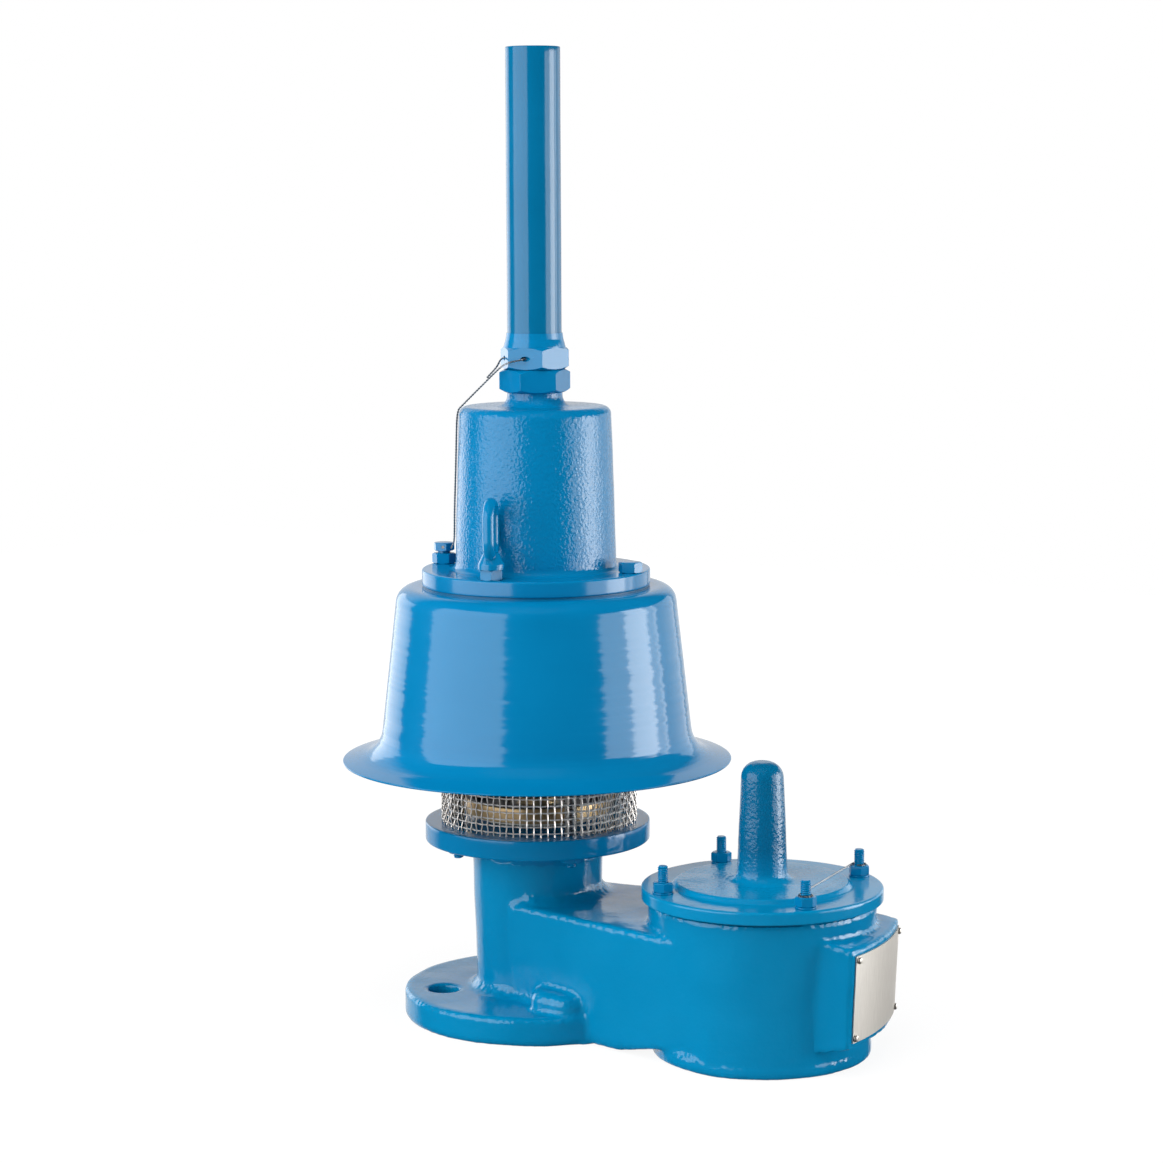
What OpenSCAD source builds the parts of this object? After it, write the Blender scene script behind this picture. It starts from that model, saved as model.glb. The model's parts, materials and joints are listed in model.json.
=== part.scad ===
// Tank breather valve: a spring loaded pressure pallet under a weather hood,
// and a weight loaded vacuum pallet in a side drum. Millimetres, +Z up.
// The origin is the centre of the tank flange's face, and the drum lies along +X.

/* [Tank flange] */
// Diameter of the tank flange
flange_d = 168; // [164:1:180]
// Thickness of the tank flange
flange_t = 17.5; // [14:0.5:22]
// Bolt circle of the tank flange
bolt_circle_d = 120.65; // [118:0.05:124]
// Bolt hole diameter
bolt_hole_d = 19.05; // [16:0.05:20]
// Bore of the port through the flange and the column
port_d = 52.5; // [46:0.5:54]
// Diameter of the bosses over the two blind bolt holes
boss_d = 33; // [31:0.5:36]
// Height of those bosses above the flange
boss_h = 12.5; // [10:0.5:15]

/* [Column and seat flange] */
// Diameter of the column at its foot
column_d = 76.5; // [72:0.5:80]
// Growth in the column's diameter up to the seat flange
column_taper = 5.5; // [2:0.5:8]
// Diameter of the seat flange
seat_flange_d = 140; // [136:1:148]
// Thickness of the seat flange
seat_flange_t = 12.3; // [10:0.1:16]
// Height of the seat flange's top face
seat_flange_z = 123.3; // [118:0.1:130]

/* [Drum] */
// Distance from the tank port to the drum's axis
drum_distance = 163; // [158:1:172]
// Height of the drum's top face
drum_h = 92.7; // [88:0.1:98]
// Diameter of the drum at its top
drum_d = 137; // [134:0.5:141]
// Loss in the drum's diameter down to the inlet ring
drum_draft = 10; // [6:0.5:12]
// Diameter of the inlet ring under the drum
inlet_ring_d = 131; // [128:0.5:134]
// Height of the inlet ring
inlet_ring_h = 7.5; // [5:0.5:9]
// Diameter of the chamber inside the drum
chamber_d = 108; // [104:0.5:111]
// Height of the bridge between the column and the drum
bridge_h = 77.5; // [74:0.5:82]
// Rounding of the bridge's upper edges
bridge_round = 3; // [2:0.5:6]

/* [Drum cover] */
// Diameter of the cover
cover_d = 144.4; // [140:0.1:150]
// Thickness of the cover's rim
cover_t = 7.7; // [6:0.1:10]
// Diameter of the raised face on the cover
raised_d = 103; // [96:0.5:108]
// Height of the raised face
raised_h = 3; // [2:0.5:4]
// Diameter of the stem guide at its foot
guide_d = 30.4; // [28:0.2:34]
// Height of the stem guide above the cover's rim
guide_h = 74.6; // [70:0.1:84]
// Circle of the cover studs
cover_stud_circle_d = 127; // [125:0.5:128]
// Turn of the cover studs about the drum's axis
cover_stud_turn = 54; // [45:1:60]
// Thickness of the gaskets
gasket_t = 1; // [0.8:0.1:1.5]

/* [Nameplate] */
// Width of the nameplate along its curve
plate_w = 82; // [70:1:86]
// Height of the nameplate
plate_h = 52; // [44:1:53]
// Thickness of the nameplate
plate_t = 0.8; // [0.6:0.1:1.2]
// Direction that the nameplate faces
plate_turn = 11; // [0:1:20]
// How far the pad's middle stands out from the drum's top diameter
pad_proud = 8.5; // [7:0.5:11]
// Radius of the pad's curve
pad_curve_r = 165; // [120:1:200]

/* [Vent screen] */
// Diameter of the wire screen
screen_d = 118.4; // [116:0.2:122]
// Wire diameter of the screen
screen_wire_d = 1.1; // [0.8:0.1:1.3]
// Pitch of the screen's wires
screen_pitch = 5.6; // [5:0.1:8]
// Room between the posts and the screen
post_room = 1.1; // [0.8:0.1:1.6]
// Diameter of the posts
post_d = 8; // [7:0.1:8.6]
// Turn of the posts about the port's axis
post_turn = 57; // [45:1:70]

/* [Hood] */
// Diameter of the hood's rim
hood_rim_d = 241.8; // [234:0.2:250]
// Diameter of the hood's crown
hood_d = 171.6; // [168:0.2:178]
// Growth in the hood's diameter down to the brim
hood_taper = 23.4; // [18:0.2:28]
// Height of the hood from the foot of its wall to its crown
hood_wall_h = 102.7; // [96:0.1:108]
// Fall of the brim from the wall to the rim
brim_fall = 5.9; // [4:0.1:9]
// Thickness of the hood's sheet
sheet_t = 2; // [1.5:0.1:2.5]
// Height of the screen between the seat flange and the support plate
screen_h = 136.9; // [130:0.1:142]
// Thickness of the support plate under the hood
support_t = 8; // [7:0.5:11]

/* [Bonnet] */
// Diameter of the bonnet's flange
bonnet_flange_d = 141.2; // [138:0.2:146]
// Thickness of the bonnet's flange
bonnet_flange_t = 9.8; // [8:0.1:12]
// Diameter of the bonnet at its foot
bonnet_d = 99.6; // [96:0.2:102]
// Loss in the bonnet's diameter up to its shoulder
bonnet_taper = 6; // [4:0.5:8]
// Height of the bonnet from its flange's face to its shoulder
bonnet_h = 110; // [106:0.5:116]
// Wall of the bonnet
bonnet_wall = 7.5; // [6:0.5:9]
// Diameter of the neck on the bonnet
neck_d = 34; // [33:0.5:36]
// Height of the neck above the shoulder
neck_h = 8.6; // [7:0.2:12]
// Bolt circle of the bonnet
bonnet_bolt_circle_d = 127; // [125:0.5:129]
// Turn of the bonnet's bolts about the port's axis
bonnet_bolt_turn = 10; // [0:1:20]

/* [Stem housing] */
// Width across the flats of the lock nut and the housing's hexagon
hex_af = 38; // [37:0.5:41]
// Height of the lock nut
lock_nut_h = 14.1; // [12:0.1:17]
// Height of the housing's hexagon
housing_hex_h = 13.7; // [12:0.1:17]
// Height of the collar between the hexagon and the pipe
collar_h = 8.4; // [6:0.2:11]
// Outer diameter of the housing pipe
pipe_d = 33.4; // [33:0.1:34]
// Wall of the housing pipe
pipe_wall = 3.35; // [2.8:0.05:3.4]
// Length of pipe that shows above the collar
pipe_h = 172.6; // [160:0.2:190]

/* [Mechanism] */
// Diameter of both pallet stems
stem_d = 10; // [9:0.1:10.4]
// Diameter of the pressure pallet
pallet_d = 90; // [88:0.5:94]
// Height of the pressure seat above the seat flange
seat_rise = 3.7; // [3:0.1:5]
// Diameter of the vacuum pallet
vacuum_pallet_d = 76; // [74:0.5:82]
// Bore of the vacuum port
vacuum_port_d = 58; // [54:0.5:60]
// Diameter of the adjusting screw
screw_d = 25.9; // [25:0.1:26]
// Mean diameter of the pressure spring
spring_d = 42; // [38:0.5:50]
// Wire diameter of the pressure spring
spring_wire_d = 4; // [3:0.1:5]
// Height of the pressure spring as set
spring_h = 60; // [56:0.5:64]

/* [Fasteners and wire] */
// Diameter of the cover studs and the post ends
stud_d = 6.4; // [5.5:0.1:6.8]
// Width across the flats of the small nuts
small_nut_af = 11.1; // [10.5:0.1:12]
// Height of the small nuts
small_nut_h = 5.6; // [5:0.1:6.5]
// Diameter of the bonnet's bolts
bolt_d = 8; // [7:0.1:8.4]
// Width across the flats of the bonnet's nuts and bolt heads
bolt_af = 13; // [12.5:0.1:14]
// Height of the bonnet's nuts
bolt_nut_h = 6.5; // [5.5:0.1:7.5]
// Rod diameter of the lifting eye
eye_rod_d = 7; // [6:0.2:8]
// Outer width of the lifting eye
eye_w = 26.4; // [25:0.2:27]
// Thickness of the seal wires
wire_d = 1.2; // [1:0.1:1.4]

/* [Hidden] */
$fn = 96;
fit = 0.05;         // radial room of a pin, stud or pressed piece in its hole
slide_fit = 0.06;   // radial room of a stem in its bush
free = 0.3;         // room around a piece that moves
seat_gap = 0.1;     // room between a pallet's seal and its seat at rest
cut = 1;            // how far a cutting body runs past the face that it cuts
arc_steps = 6;      // facets in a rounded corner

// Tank port, column and bridge
flange_r = flange_d / 2;
column_r = column_d / 2;
column_top_r = column_r + column_taper / 2;
seat_flange_r = seat_flange_d / 2;
seat_flange_bottom = seat_flange_z - seat_flange_t;
column_fillet = 8;
boss_round = 7;
boss_foot = 2;      // the bosses start inside the flange
boss_stretch = 8;   // how far each boss runs on toward the bridge
boss_fall = 0.7;    // and how much lower it is there
blind_depth = flange_t + boss_h - 10;
drum_r = drum_d / 2;
drum_foot_r = drum_r - drum_draft / 2;
passage_w = 44;
passage_z = [26, bridge_h - 11];

// Drum floor, from the inlet upward
recess_d = 99.4;
recess_h = 9;
floor_t = 10;
floor_z = recess_h + floor_t;
seat_ring_wall = 6;
seat_ring_h = 12;
seat_ring_sunk = 7;
vacuum_seat_z = floor_z + seat_ring_h - seat_ring_sunk;
inlet_screen_t = 1.5;
inlet_hole_d = 6;
inlet_hole_pitch = 8.5;
retaining_ring_t = 3;
retaining_ring_w = 8;
retaining_screw_d = 4;
retaining_screw_r = recess_d / 2 - retaining_ring_w / 2;
retaining_screw_grip = 8;
retaining_head_h = 2.2;
retaining_head_d = 7;

// Drum cover
cover_z = drum_h + gasket_t;
cover_top = cover_z + cover_t;
raised_z = cover_top + raised_h;
guide_top = cover_top + guide_h;
guide_taper = 5.6;
spigot_h = 3;
stud_sunk = 13;
stud_stand = 16.6;
washer_t = 1.2;
cover_bush_d = 16;
cover_bush_h = 16;
guide_bore_d = stem_d + 3;
guide_crown = 6;

// Nameplate pad: a drafted block on the drum's wall, its face flatter than the drum
pad_back = pad_curve_r - drum_r - pad_proud;
pad_draft = 2.7;
pad_margin = 3.5;
pad_z = [bridge_h - plate_h - 2 * pad_margin, bridge_h];
pad_depth = 40;
pad_slope = 8;
plate_span = plate_w / pad_curve_r * 180 / PI;
pad_half_w = pad_curve_r * sin(plate_span / 2) + pad_margin;
pad_lean = atan(pad_draft / (pad_z[1] - pad_z[0]));
plate_screw_d = 2.4;
plate_screw_head_d = 4;
plate_screw_head_h = 1.5;
plate_screw_inset = 2.7;
plate_screw_l = 7;

// Vent screen, support plate and hood
seat_ring_outer_r = port_d / 2 + seat_ring_wall;
screen_r = screen_d / 2;
post_circle_d = screen_d - 2 * (screen_wire_d + post_room) - post_d;
spot_face_depth = 0.5;
spot_face_d = 2 * small_nut_af / sqrt(3) + 1;
post_nut_z = seat_flange_bottom + spot_face_depth - small_nut_h;
support_z = seat_flange_z + screen_h;
support_top = support_z + support_t;
support_d = bonnet_flange_d - 1.2;
hood_top = support_top + sheet_t;
hood_wall_foot = hood_top - hood_wall_h;
upright_count = floor(PI * screen_d / screen_pitch);
hoop_count = floor(screen_h / screen_pitch);
stud_end = 3;
post_sunk = 6;

// Bonnet
bonnet_z = hood_top + gasket_t;
bonnet_face = bonnet_z + bonnet_flange_t;
shoulder_z = bonnet_z + bonnet_h;
neck_top = shoulder_z + neck_h;
bonnet_shoulder_r = (bonnet_d - bonnet_taper) / 2;
cavity_r = bonnet_shoulder_r - bonnet_wall;
roof_t = 8;
cavity_top = shoulder_z - roof_t;
bolt_sunk = 6.5;
bolt_foot = support_top - bolt_sunk;
seal_head_z = bonnet_face + bolt_nut_h + 1.5;
seal_head_h = 5;

// Stem housing
housing_z = neck_top + lock_nut_h;
housing_hex_top = housing_z + housing_hex_h;
pipe_r = pipe_d / 2;
pipe_sunk = 3;
pipe_foot = housing_hex_top - pipe_sunk;
collar_top = housing_hex_top + collar_h;
pipe_top = collar_top + pipe_h;
end_disc_t = 5;
lock_nut_turn = 41;
housing_turn = 17.4;
wire_hole_d = 3;
wire_hole_z = housing_z + housing_hex_h / 2;
wire_hole_face = 210 + housing_turn;

// Pressure pallet and spring
stem_r = stem_d / 2;
pressure_seat_z = seat_flange_z + seat_rise;
seal_t = 2;
seal_z = pressure_seat_z + seat_gap;
plate_z = seal_z + seal_t;
pallet_plate_t = 4;
rim_w = 3.8;
rim_h = 9.5;
rim_drop = 1.5;
hub_d = 24;
hub_h = 9;
stem_nut_af = 17;
stem_nut_h = 8;
retainer_t = 3;
stem_foot = seal_z - retainer_t - stem_nut_h - 3;
stem_top = pipe_top - end_disc_t - 25;
button_d = spring_d + spring_wire_d + 2;
button_t = 6;
button_hub_d = spring_d - spring_wire_d - 3;
button_hub_h = 4;
lower_button_z = bonnet_face + 11;
spring_z = lower_button_z + button_t;
upper_button_z = spring_z + spring_h;
screw_z = upper_button_z + button_t;
screw_top = collar_top + 12;
screw_bore_d = stem_d + 2 * free;
screw_slot = [4, 5];
spring_turns = 7;
stem_pin_d = 3;
bush_d = 18;
bush_flange_d = 26;
bush_flange_t = 3;

// Vacuum pallet
vacuum_seal_z = vacuum_seat_z + seat_gap;
vacuum_plate_z = vacuum_seal_z + seal_t;
vacuum_plate_t = 5;
vacuum_hub_d = 20;
vacuum_hub_h = 18;
weight_d = 64;
weight_t = 6;
weight_count = 2;
weight_z = vacuum_plate_z + vacuum_plate_t;
vacuum_stem_foot = vacuum_seal_z - retainer_t - stem_nut_h - 1;
vacuum_stem_top = guide_top - guide_crown - 20;

// Lifting eye
eye_z = bonnet_face + bolt_nut_h;
eye_collar_h = 10;
eye_h = 49.6 - bolt_nut_h;
eye_turn = 117;
eye_bow_r = (eye_w - eye_rod_d) / 2;
eye_bow_z = [eye_z + eye_collar_h - 2 + eye_bow_r, eye_z + eye_h - eye_w / 2];

// Route of the seal wire: through the hexagon's corner and down the bonnet to the drilled bolt
seal_route = [
    [-15.5, -18.6, 405.4], [-14.4, -15.8, 409.6], [-12.9, -14.0, 411], [-3.6, -16.1, 411], [5.7, -18.1, 411],
    [6.6, -19.6, 410.8], [4.2, -21.2, 410.2], [-4.5, -22.4, 408.2], [-13, -19.6, 404.4], [-25, -25.4, 391.5],
    [-32.3, -31.2, 382.2], [-34.1, -32.8, 379.4], [-34.9, -33.3, 374.5], [-35.4, -33.4, 366], [-38, -31, 344],
    [-40.8, -28.8, 318], [-44.2, -25, 299], [-50, -19.6, 292.6], [-54, -14.6, 291.2]
];

// Outlines: a path is a list of [x, y, corner radius]
function unit(v) = v / norm(v);
function flat(p) = [p.x, p.y];
function corner(a, b, c, r) =
    let (
        u = unit(a - b),
        v = unit(c - b),
        half = acos(u * v) / 2,
        middle = b + unit(u + v) * r / sin(half),
        start = b + u * r / tan(half) - middle,
        stop = b + v * r / tan(half) - middle,
        from = atan2(start.y, start.x),
        sweep = (atan2(stop.y, stop.x) - from + 540) % 360 - 180
    )
    [for (i = [0 : arc_steps]) middle + r * [cos(from + sweep * i / arc_steps), sin(from + sweep * i / arc_steps)]];
function rounded(path) =
    let (n = len(path))
    [for (i = [0 : n - 1])
        let (p = path[i])
        each p.z > 0 ? corner(flat(path[(i + n - 1) % n]), flat(p), flat(path[(i + 1) % n]), p.z) : [flat(p)]];

// An open path moved sideways by t, to the right of its direction
function side(a, b) = let (d = unit(b - a)) [d.y, -d.x];
function moved(path, t) =
    let (n = len(path))
    [for (i = [0 : n - 1])
        let (
            p = flat(path[i]),
            before = i > 0 ? side(flat(path[i - 1]), p) : side(p, flat(path[i + 1])),
            after = i < n - 1 ? side(p, flat(path[i + 1])) : before
        )
        p + t * (before + after) / (1 + before * after)];
function backward(list) = [for (i = [len(list) - 1 : -1 : 0]) list[i]];

module revolve(path) { rotate_extrude() polygon(rounded(path)); }
module rod(d, z0, z1) { translate([0, 0, z0]) cylinder(d = d, h = z1 - z0); }
module washer(d, bore, z0, h) { translate([0, 0, z0]) linear_extrude(h) difference() { circle(d = d); circle(d = bore); } }
module around(circle_d, count, turn) {
    for (i = [0 : count - 1]) rotate(turn + i * 360 / count) translate([circle_d / 2, 0]) children();
}
module at_drum() { translate([drum_distance, 0, 0]) children(); }

// A chamfered hexagon nut, with its corners on the given turn
module hex_nut(af, h, z0, turn = 0) {
    corner_r = af / sqrt(3);
    land_r = af / 2 * 0.97;
    past_r = corner_r + 1;
    bevel = (past_r - land_r) * tan(30);
    intersection() {
        translate([0, 0, z0]) rotate(turn) cylinder(r = corner_r, h = h, $fn = 6);
        revolve([[0, z0, 0], [land_r, z0, 0], [past_r, z0 + bevel, 0], [past_r, z0 + h - bevel, 0],
                 [land_r, z0 + h, 0], [0, z0 + h, 0]]);
    }
}
module drilled_nut(af, h, z0, bore, turn = 0) {
    difference() {
        hex_nut(af, h, z0, turn);
        rod(bore, z0 - cut, z0 + h + cut);
    }
}

// A round tube swept along points, as one closed solid
function ring_at(points, i, r, sides) =
    let (
        n = len(points),
        along = unit(points[min(i + 1, n - 1)] - points[max(i - 1, 0)]),
        across = unit(cross(along, [0.31, 0.95, 0.05])),
        up = cross(across, along)
    )
    [for (k = [0 : sides - 1]) points[i] + r * (cos(360 * k / sides) * across + sin(360 * k / sides) * up)];
module swept(points, r, sides) {
    n = len(points);
    polyhedron(
        points = [for (i = [0 : n - 1]) each ring_at(points, i, r, sides)],
        faces = concat(
            [[for (k = [0 : sides - 1]) k]],
            [for (i = [0 : n - 2], k = [0 : sides - 1])
                let (a = i * sides + k, b = i * sides + (k + 1) % sides)
                each [[a, a + sides, b + sides], [a, b + sides, b]]],
            [[for (k = [sides - 1 : -1 : 0]) (n - 1) * sides + k]]
        )
    );
}

// The casting: tank flange, column, seat flange, bridge and drum
module flange_and_column() {
    revolve([[0, 0, 0], [flange_r - 1.5, 0, 0], [flange_r, 2, 1.5], [flange_r, flange_t, 3],
             [column_r, flange_t, column_fillet], [column_top_r, seat_flange_bottom, column_fillet],
             [seat_flange_r, seat_flange_bottom, 2], [seat_flange_r, seat_flange_z, 1], [0, seat_flange_z, 0]]);
}
module drum_shell() {
    at_drum() revolve([[0, 0, 0], [inlet_ring_d / 2, 0, 2.5], [inlet_ring_d / 2, inlet_ring_h, 0],
                       [drum_foot_r, inlet_ring_h + 3, 2], [drum_r, drum_h, 0.8], [0, drum_h, 0]]);
}
// The bridge's wall leaves the column and runs into the drum just inside their radii, which give its lean
bridge_foot = inlet_ring_h + 1;
bridge_column_r = column_r - 3.2;
bridge_drum_r = drum_foot_r - 0.4;
bridge_lean = asin((bridge_drum_r - bridge_column_r) / drum_distance);
bridge_l = drum_distance * cos(bridge_lean);
wall_draft = (drum_r - drum_foot_r) * (bridge_h - bridge_foot) / (drum_h - bridge_foot);
module along_wall(side) {
    mirror([0, side < 0 ? 1 : 0, 0]) rotate(bridge_lean) translate([0, bridge_column_r, 0])
        rotate([90, 0, 90]) linear_extrude(bridge_l) children();
}
module bridge() {
    deep = 2 * bridge_drum_r + 10;
    intersection_for (side = [-1, 1])
        along_wall(side) polygon(rounded([[0, bridge_foot, 1.5], [wall_draft, bridge_h, bridge_round],
                                          [-deep, bridge_h, 0], [-deep, bridge_foot, 0]]));
}
module over_bridge(z) {
    intersection_for (side = [-1, 1])
        along_wall(side) translate([-2 * drum_r, 0]) square([2 * drum_r - 1, z]);
}
module bridge_fillets() {
    column_blend = 16;
    drum_blend = 7;
    intersection() {
        union() {
            revolve([[0, flange_t, 0], [column_r + column_blend + 5, flange_t, 0],
                     [column_r + column_blend + 5, bridge_h - 2, 0], [column_r - 2, bridge_h - 2, column_blend + 3],
                     [column_r - 2, seat_flange_bottom - 4, 0], [0, seat_flange_bottom - 4, 0]]);
            at_drum() revolve([[0, flange_t, 0], [drum_r + drum_blend + 5, flange_t, 0],
                               [drum_r + drum_blend + 5, bridge_h - 2, 0], [drum_r - 3, bridge_h - 2, drum_blend + 3],
                               [drum_r - 3, drum_h - 2, 0], [0, drum_h - 2, 0]]);
        }
        over_bridge(drum_h + 40);
    }
    // The foot of each wall, where it stands on the tank flange
    foot = flange_t - 0.4;
    intersection() {
        translate([0, 0, foot - 2]) cylinder(r = flange_r - 3, h = 3 * column_fillet);
        for (side = [-1, 1])
            along_wall(side) polygon(rounded([[-8, foot - 1, 0], [column_fillet + 1, foot - 1, 0],
                                              [column_fillet + 1, foot, 0], [0, foot, column_fillet],
                                              [0, foot + column_fillet + 2, 0], [-8, foot + column_fillet + 2, 0]]));
    }
}
module boss_dome(foot, top) {
    revolve([[0, foot, 0], [boss_d / 2 - 1, foot, 0], [boss_d / 2 - 1, top, boss_round], [0, top, 0]]);
}
module blind_bosses() {
    for (turn = [-45, 45]) rotate(turn) translate([bolt_circle_d / 2, 0, 0]) {
        boss_dome(boss_foot, flange_t + boss_h);
        rotate(-turn) translate([boss_stretch, 0, 0]) boss_dome(2 * boss_foot, flange_t + boss_h - boss_fall);
    }
}
// The axis of the pad's curve stands behind the drum's axis
module at_pad() { at_drum() rotate(plate_turn) translate([-pad_back, 0, 0]) children(); }
module nameplate_pad() {
    behind = pad_curve_r - pad_depth;
    at_pad() intersection() {
        revolve([[behind - cut, pad_z[0] - pad_slope, 0], [pad_curve_r - pad_draft, pad_z[0], 1.5],
                 [pad_curve_r, pad_z[1], 1.5], [behind - cut, pad_z[1] + pad_slope, 0]]);
        translate([behind, -pad_half_w, 0]) cube([2 * pad_depth, 2 * pad_half_w, drum_h]);
    }
}
module passage() {
    half = passage_w / 2;
    rotate([90, 0, 90]) linear_extrude(drum_distance)
        polygon(rounded([[-half, passage_z[0], 8], [half, passage_z[0], 8], [half, passage_z[1], 14],
                         [-half, passage_z[1], 14]]));
}
// Places of the nameplate's screws, each on the drafted face and looking straight out of it
module at_plate_screws() {
    for (s = [-1, 1], z = [-1, 1])
        at_pad() rotate(s * (plate_span / 2 - plate_screw_inset / pad_curve_r * 180 / PI))
            translate([pad_curve_r - pad_draft / 2, 0, (pad_z[0] + pad_z[1]) / 2]) rotate([0, 90 + pad_lean, 0])
                translate([-z * (plate_h / 2 - plate_screw_inset), 0, 0]) children();
}
module body_casting() {
    color("#1f7fb8") difference() {
        union() {
            flange_and_column();
            drum_shell();
            bridge();
            bridge_fillets();
            blind_bosses();
            nameplate_pad();
        }
        rod(port_d, -cut, seat_flange_z + cut);
        rod(2 * seat_ring_outer_r + 2 * fit, seat_flange_z - seat_ring_sunk, seat_flange_z + cut);
        passage();
        for (turn = [135, 225]) rotate(turn) translate([bolt_circle_d / 2, 0]) rod(bolt_hole_d, -cut, flange_t + cut);
        for (turn = [-45, 45]) rotate(turn) translate([bolt_circle_d / 2, 0]) rod(bolt_hole_d, -cut, blind_depth);
        around(post_circle_d, 4, post_turn) {
            rod(stud_d + 2 * fit, seat_flange_bottom - cut, seat_flange_z + cut);
            rod(spot_face_d, post_nut_z - stud_end, seat_flange_bottom + spot_face_depth);
        }
        at_drum() {
            rod(recess_d + 2 * fit, -cut, recess_h);
            rod(vacuum_port_d, 0, floor_z + cut);
            rod(vacuum_port_d + 2 * seat_ring_wall + 2 * fit, floor_z - seat_ring_sunk, floor_z + cut);
            rod(chamber_d, floor_z, drum_h + cut);
            around(cover_stud_circle_d, 4, cover_stud_turn) rod(stud_d + 2 * fit, drum_h - stud_sunk, drum_h + cut);
            around(2 * retaining_screw_r, 4, 45)
                rod(retaining_screw_d + 2 * fit, recess_h - cut, recess_h + retaining_screw_grip);
        }
        at_plate_screws() translate([0, 0, -plate_screw_l]) cylinder(d = plate_screw_d + 2 * fit, h = 2 * plate_screw_l);
    }
}

// Seats
module pressure_seat_ring() {
    inner = port_d / 2;
    color("#c9ccd0") revolve([[inner, seat_flange_z - seat_ring_sunk, 0], [seat_ring_outer_r, seat_flange_z - seat_ring_sunk, 0],
                              [seat_ring_outer_r, seat_flange_z, 0], [inner + 3, pressure_seat_z, 0],
                              [inner, pressure_seat_z, 0]]);
}
module vacuum_seat_ring() {
    inner = vacuum_port_d / 2;
    outer = inner + seat_ring_wall;
    color("#c9ccd0") at_drum()
        revolve([[inner, floor_z - seat_ring_sunk, 0], [outer, floor_z - seat_ring_sunk, 0],
                 [outer, floor_z, 0], [inner + 3, vacuum_seat_z, 0], [inner, vacuum_seat_z, 0]]);
}

// Posts, screen, support plate and hood
module posts() {
    color("#9a9c9e") around(post_circle_d, 4, post_turn) {
        rod(post_d, seat_flange_z, support_z);
        rod(stud_d, post_nut_z - stud_end, support_z + post_sunk);
    }
}
module post_nuts() {
    color("#1f7fb8") around(post_circle_d, 4, post_turn)
        drilled_nut(small_nut_af, small_nut_h, post_nut_z, stud_d + 2 * fit);
}
module screen_uprights() {
    color("#b9b6ae") around(screen_d - screen_wire_d, upright_count, 0)
        rod(screen_wire_d, seat_flange_z, support_z);
}
// A hoop's section is a hexagon, so that the many hoops stay light
module screen_hoops() {
    wire_r = screen_wire_d / 2;
    section = [for (k = [0 : 5]) [screen_r + wire_r + fit, 0] + wire_r * [cos(60 * k), sin(60 * k)]];
    color("#b9b6ae") for (i = [0 : hoop_count - 1])
        translate([0, 0, seat_flange_z + (i + 0.5) * screen_h / hoop_count]) rotate_extrude() polygon(section);
}
module support_plate() {
    color("#1f7fb8") difference() {
        revolve([[0, support_z - 6, 0], [bush_flange_d / 2, support_z - 6, 0], [bush_flange_d / 2, support_z, 2],
                 [support_d / 2, support_z, 1], [support_d / 2, support_top, 0], [0, support_top, 0]]);
        rod(bush_d + 2 * fit, support_z - 6 - cut, support_top + cut);
        around(post_circle_d, 4, post_turn) rod(stud_d + 2 * fit, support_z - cut, support_z + post_sunk);
        around(bonnet_bolt_circle_d, 4, bonnet_bolt_turn) rod(bolt_d + 2 * fit, bolt_foot, support_top + cut);
    }
}
module stem_bush() {
    color("#b08d4a") difference() {
        revolve([[0, support_z - 6, 0], [bush_d / 2, support_z - 6, 0], [bush_d / 2, support_top, 0],
                 [bush_flange_d / 2, support_top, 0], [bush_flange_d / 2, support_top + bush_flange_t, 0.5],
                 [0, support_top + bush_flange_t, 0]]);
        rod(stem_d + 2 * slide_fit, support_z - 6 - cut, support_top + bush_flange_t + cut);
    }
}
module hood() {
    crown_round = 10;
    foot_round = 18;
    hole_r = bush_flange_d / 2 + 1;
    outline = [[hole_r, hood_top], [hood_d / 2, hood_top], [(hood_d + hood_taper) / 2, hood_wall_foot],
               [hood_rim_d / 2, hood_wall_foot - brim_fall]];
    outer_round = [0, crown_round, foot_round, 0];
    inner_round = [0, crown_round - sheet_t, foot_round + sheet_t, 0];
    inner = moved(outline, sheet_t);
    outer_path = [for (i = [0 : 3]) [outline[i].x, outline[i].y, outer_round[i]]];
    inner_path = [for (i = [0 : 3]) [inner[i].x, inner[i].y, inner_round[i]]];
    color("#1f7fb8") difference() {
        revolve(concat(outer_path, backward(inner_path)));
        around(bonnet_bolt_circle_d, 4, bonnet_bolt_turn) rod(bolt_d + 2 * free, hood_top - sheet_t - cut, hood_top + cut);
    }
}

// Bonnet and what holds it
module bonnet_gasket() {
    color("#2b2b2b") difference() {
        washer(bonnet_flange_d - 1, 2 * cavity_r, hood_top, gasket_t);
        around(bonnet_bolt_circle_d, 4, bonnet_bolt_turn) rod(bolt_d + 2 * free, hood_top - cut, bonnet_z + cut);
    }
}
module bonnet() {
    color("#1f7fb8") difference() {
        revolve([[0, bonnet_z, 0], [bonnet_flange_d / 2, bonnet_z, 0.8], [bonnet_flange_d / 2, bonnet_face, 1.2],
                 [bonnet_d / 2, bonnet_face, 4], [bonnet_shoulder_r, shoulder_z, 5.5], [neck_d / 2, shoulder_z, 6.5],
                 [neck_d / 2, neck_top, 0.6], [0, neck_top, 0]]);
        rod(2 * cavity_r, bonnet_z - cut, cavity_top);
        rod(screw_d + 2 * fit, cavity_top - cut, neck_top + cut);
        around(bonnet_bolt_circle_d, 4, bonnet_bolt_turn) rod(bolt_d + 2 * free, bonnet_z - cut, bonnet_face + cut);
    }
}
module at_bonnet_bolt(i) { rotate(bonnet_bolt_turn + 90 * i) translate([bonnet_bolt_circle_d / 2, 0, 0]) children(); }
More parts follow.
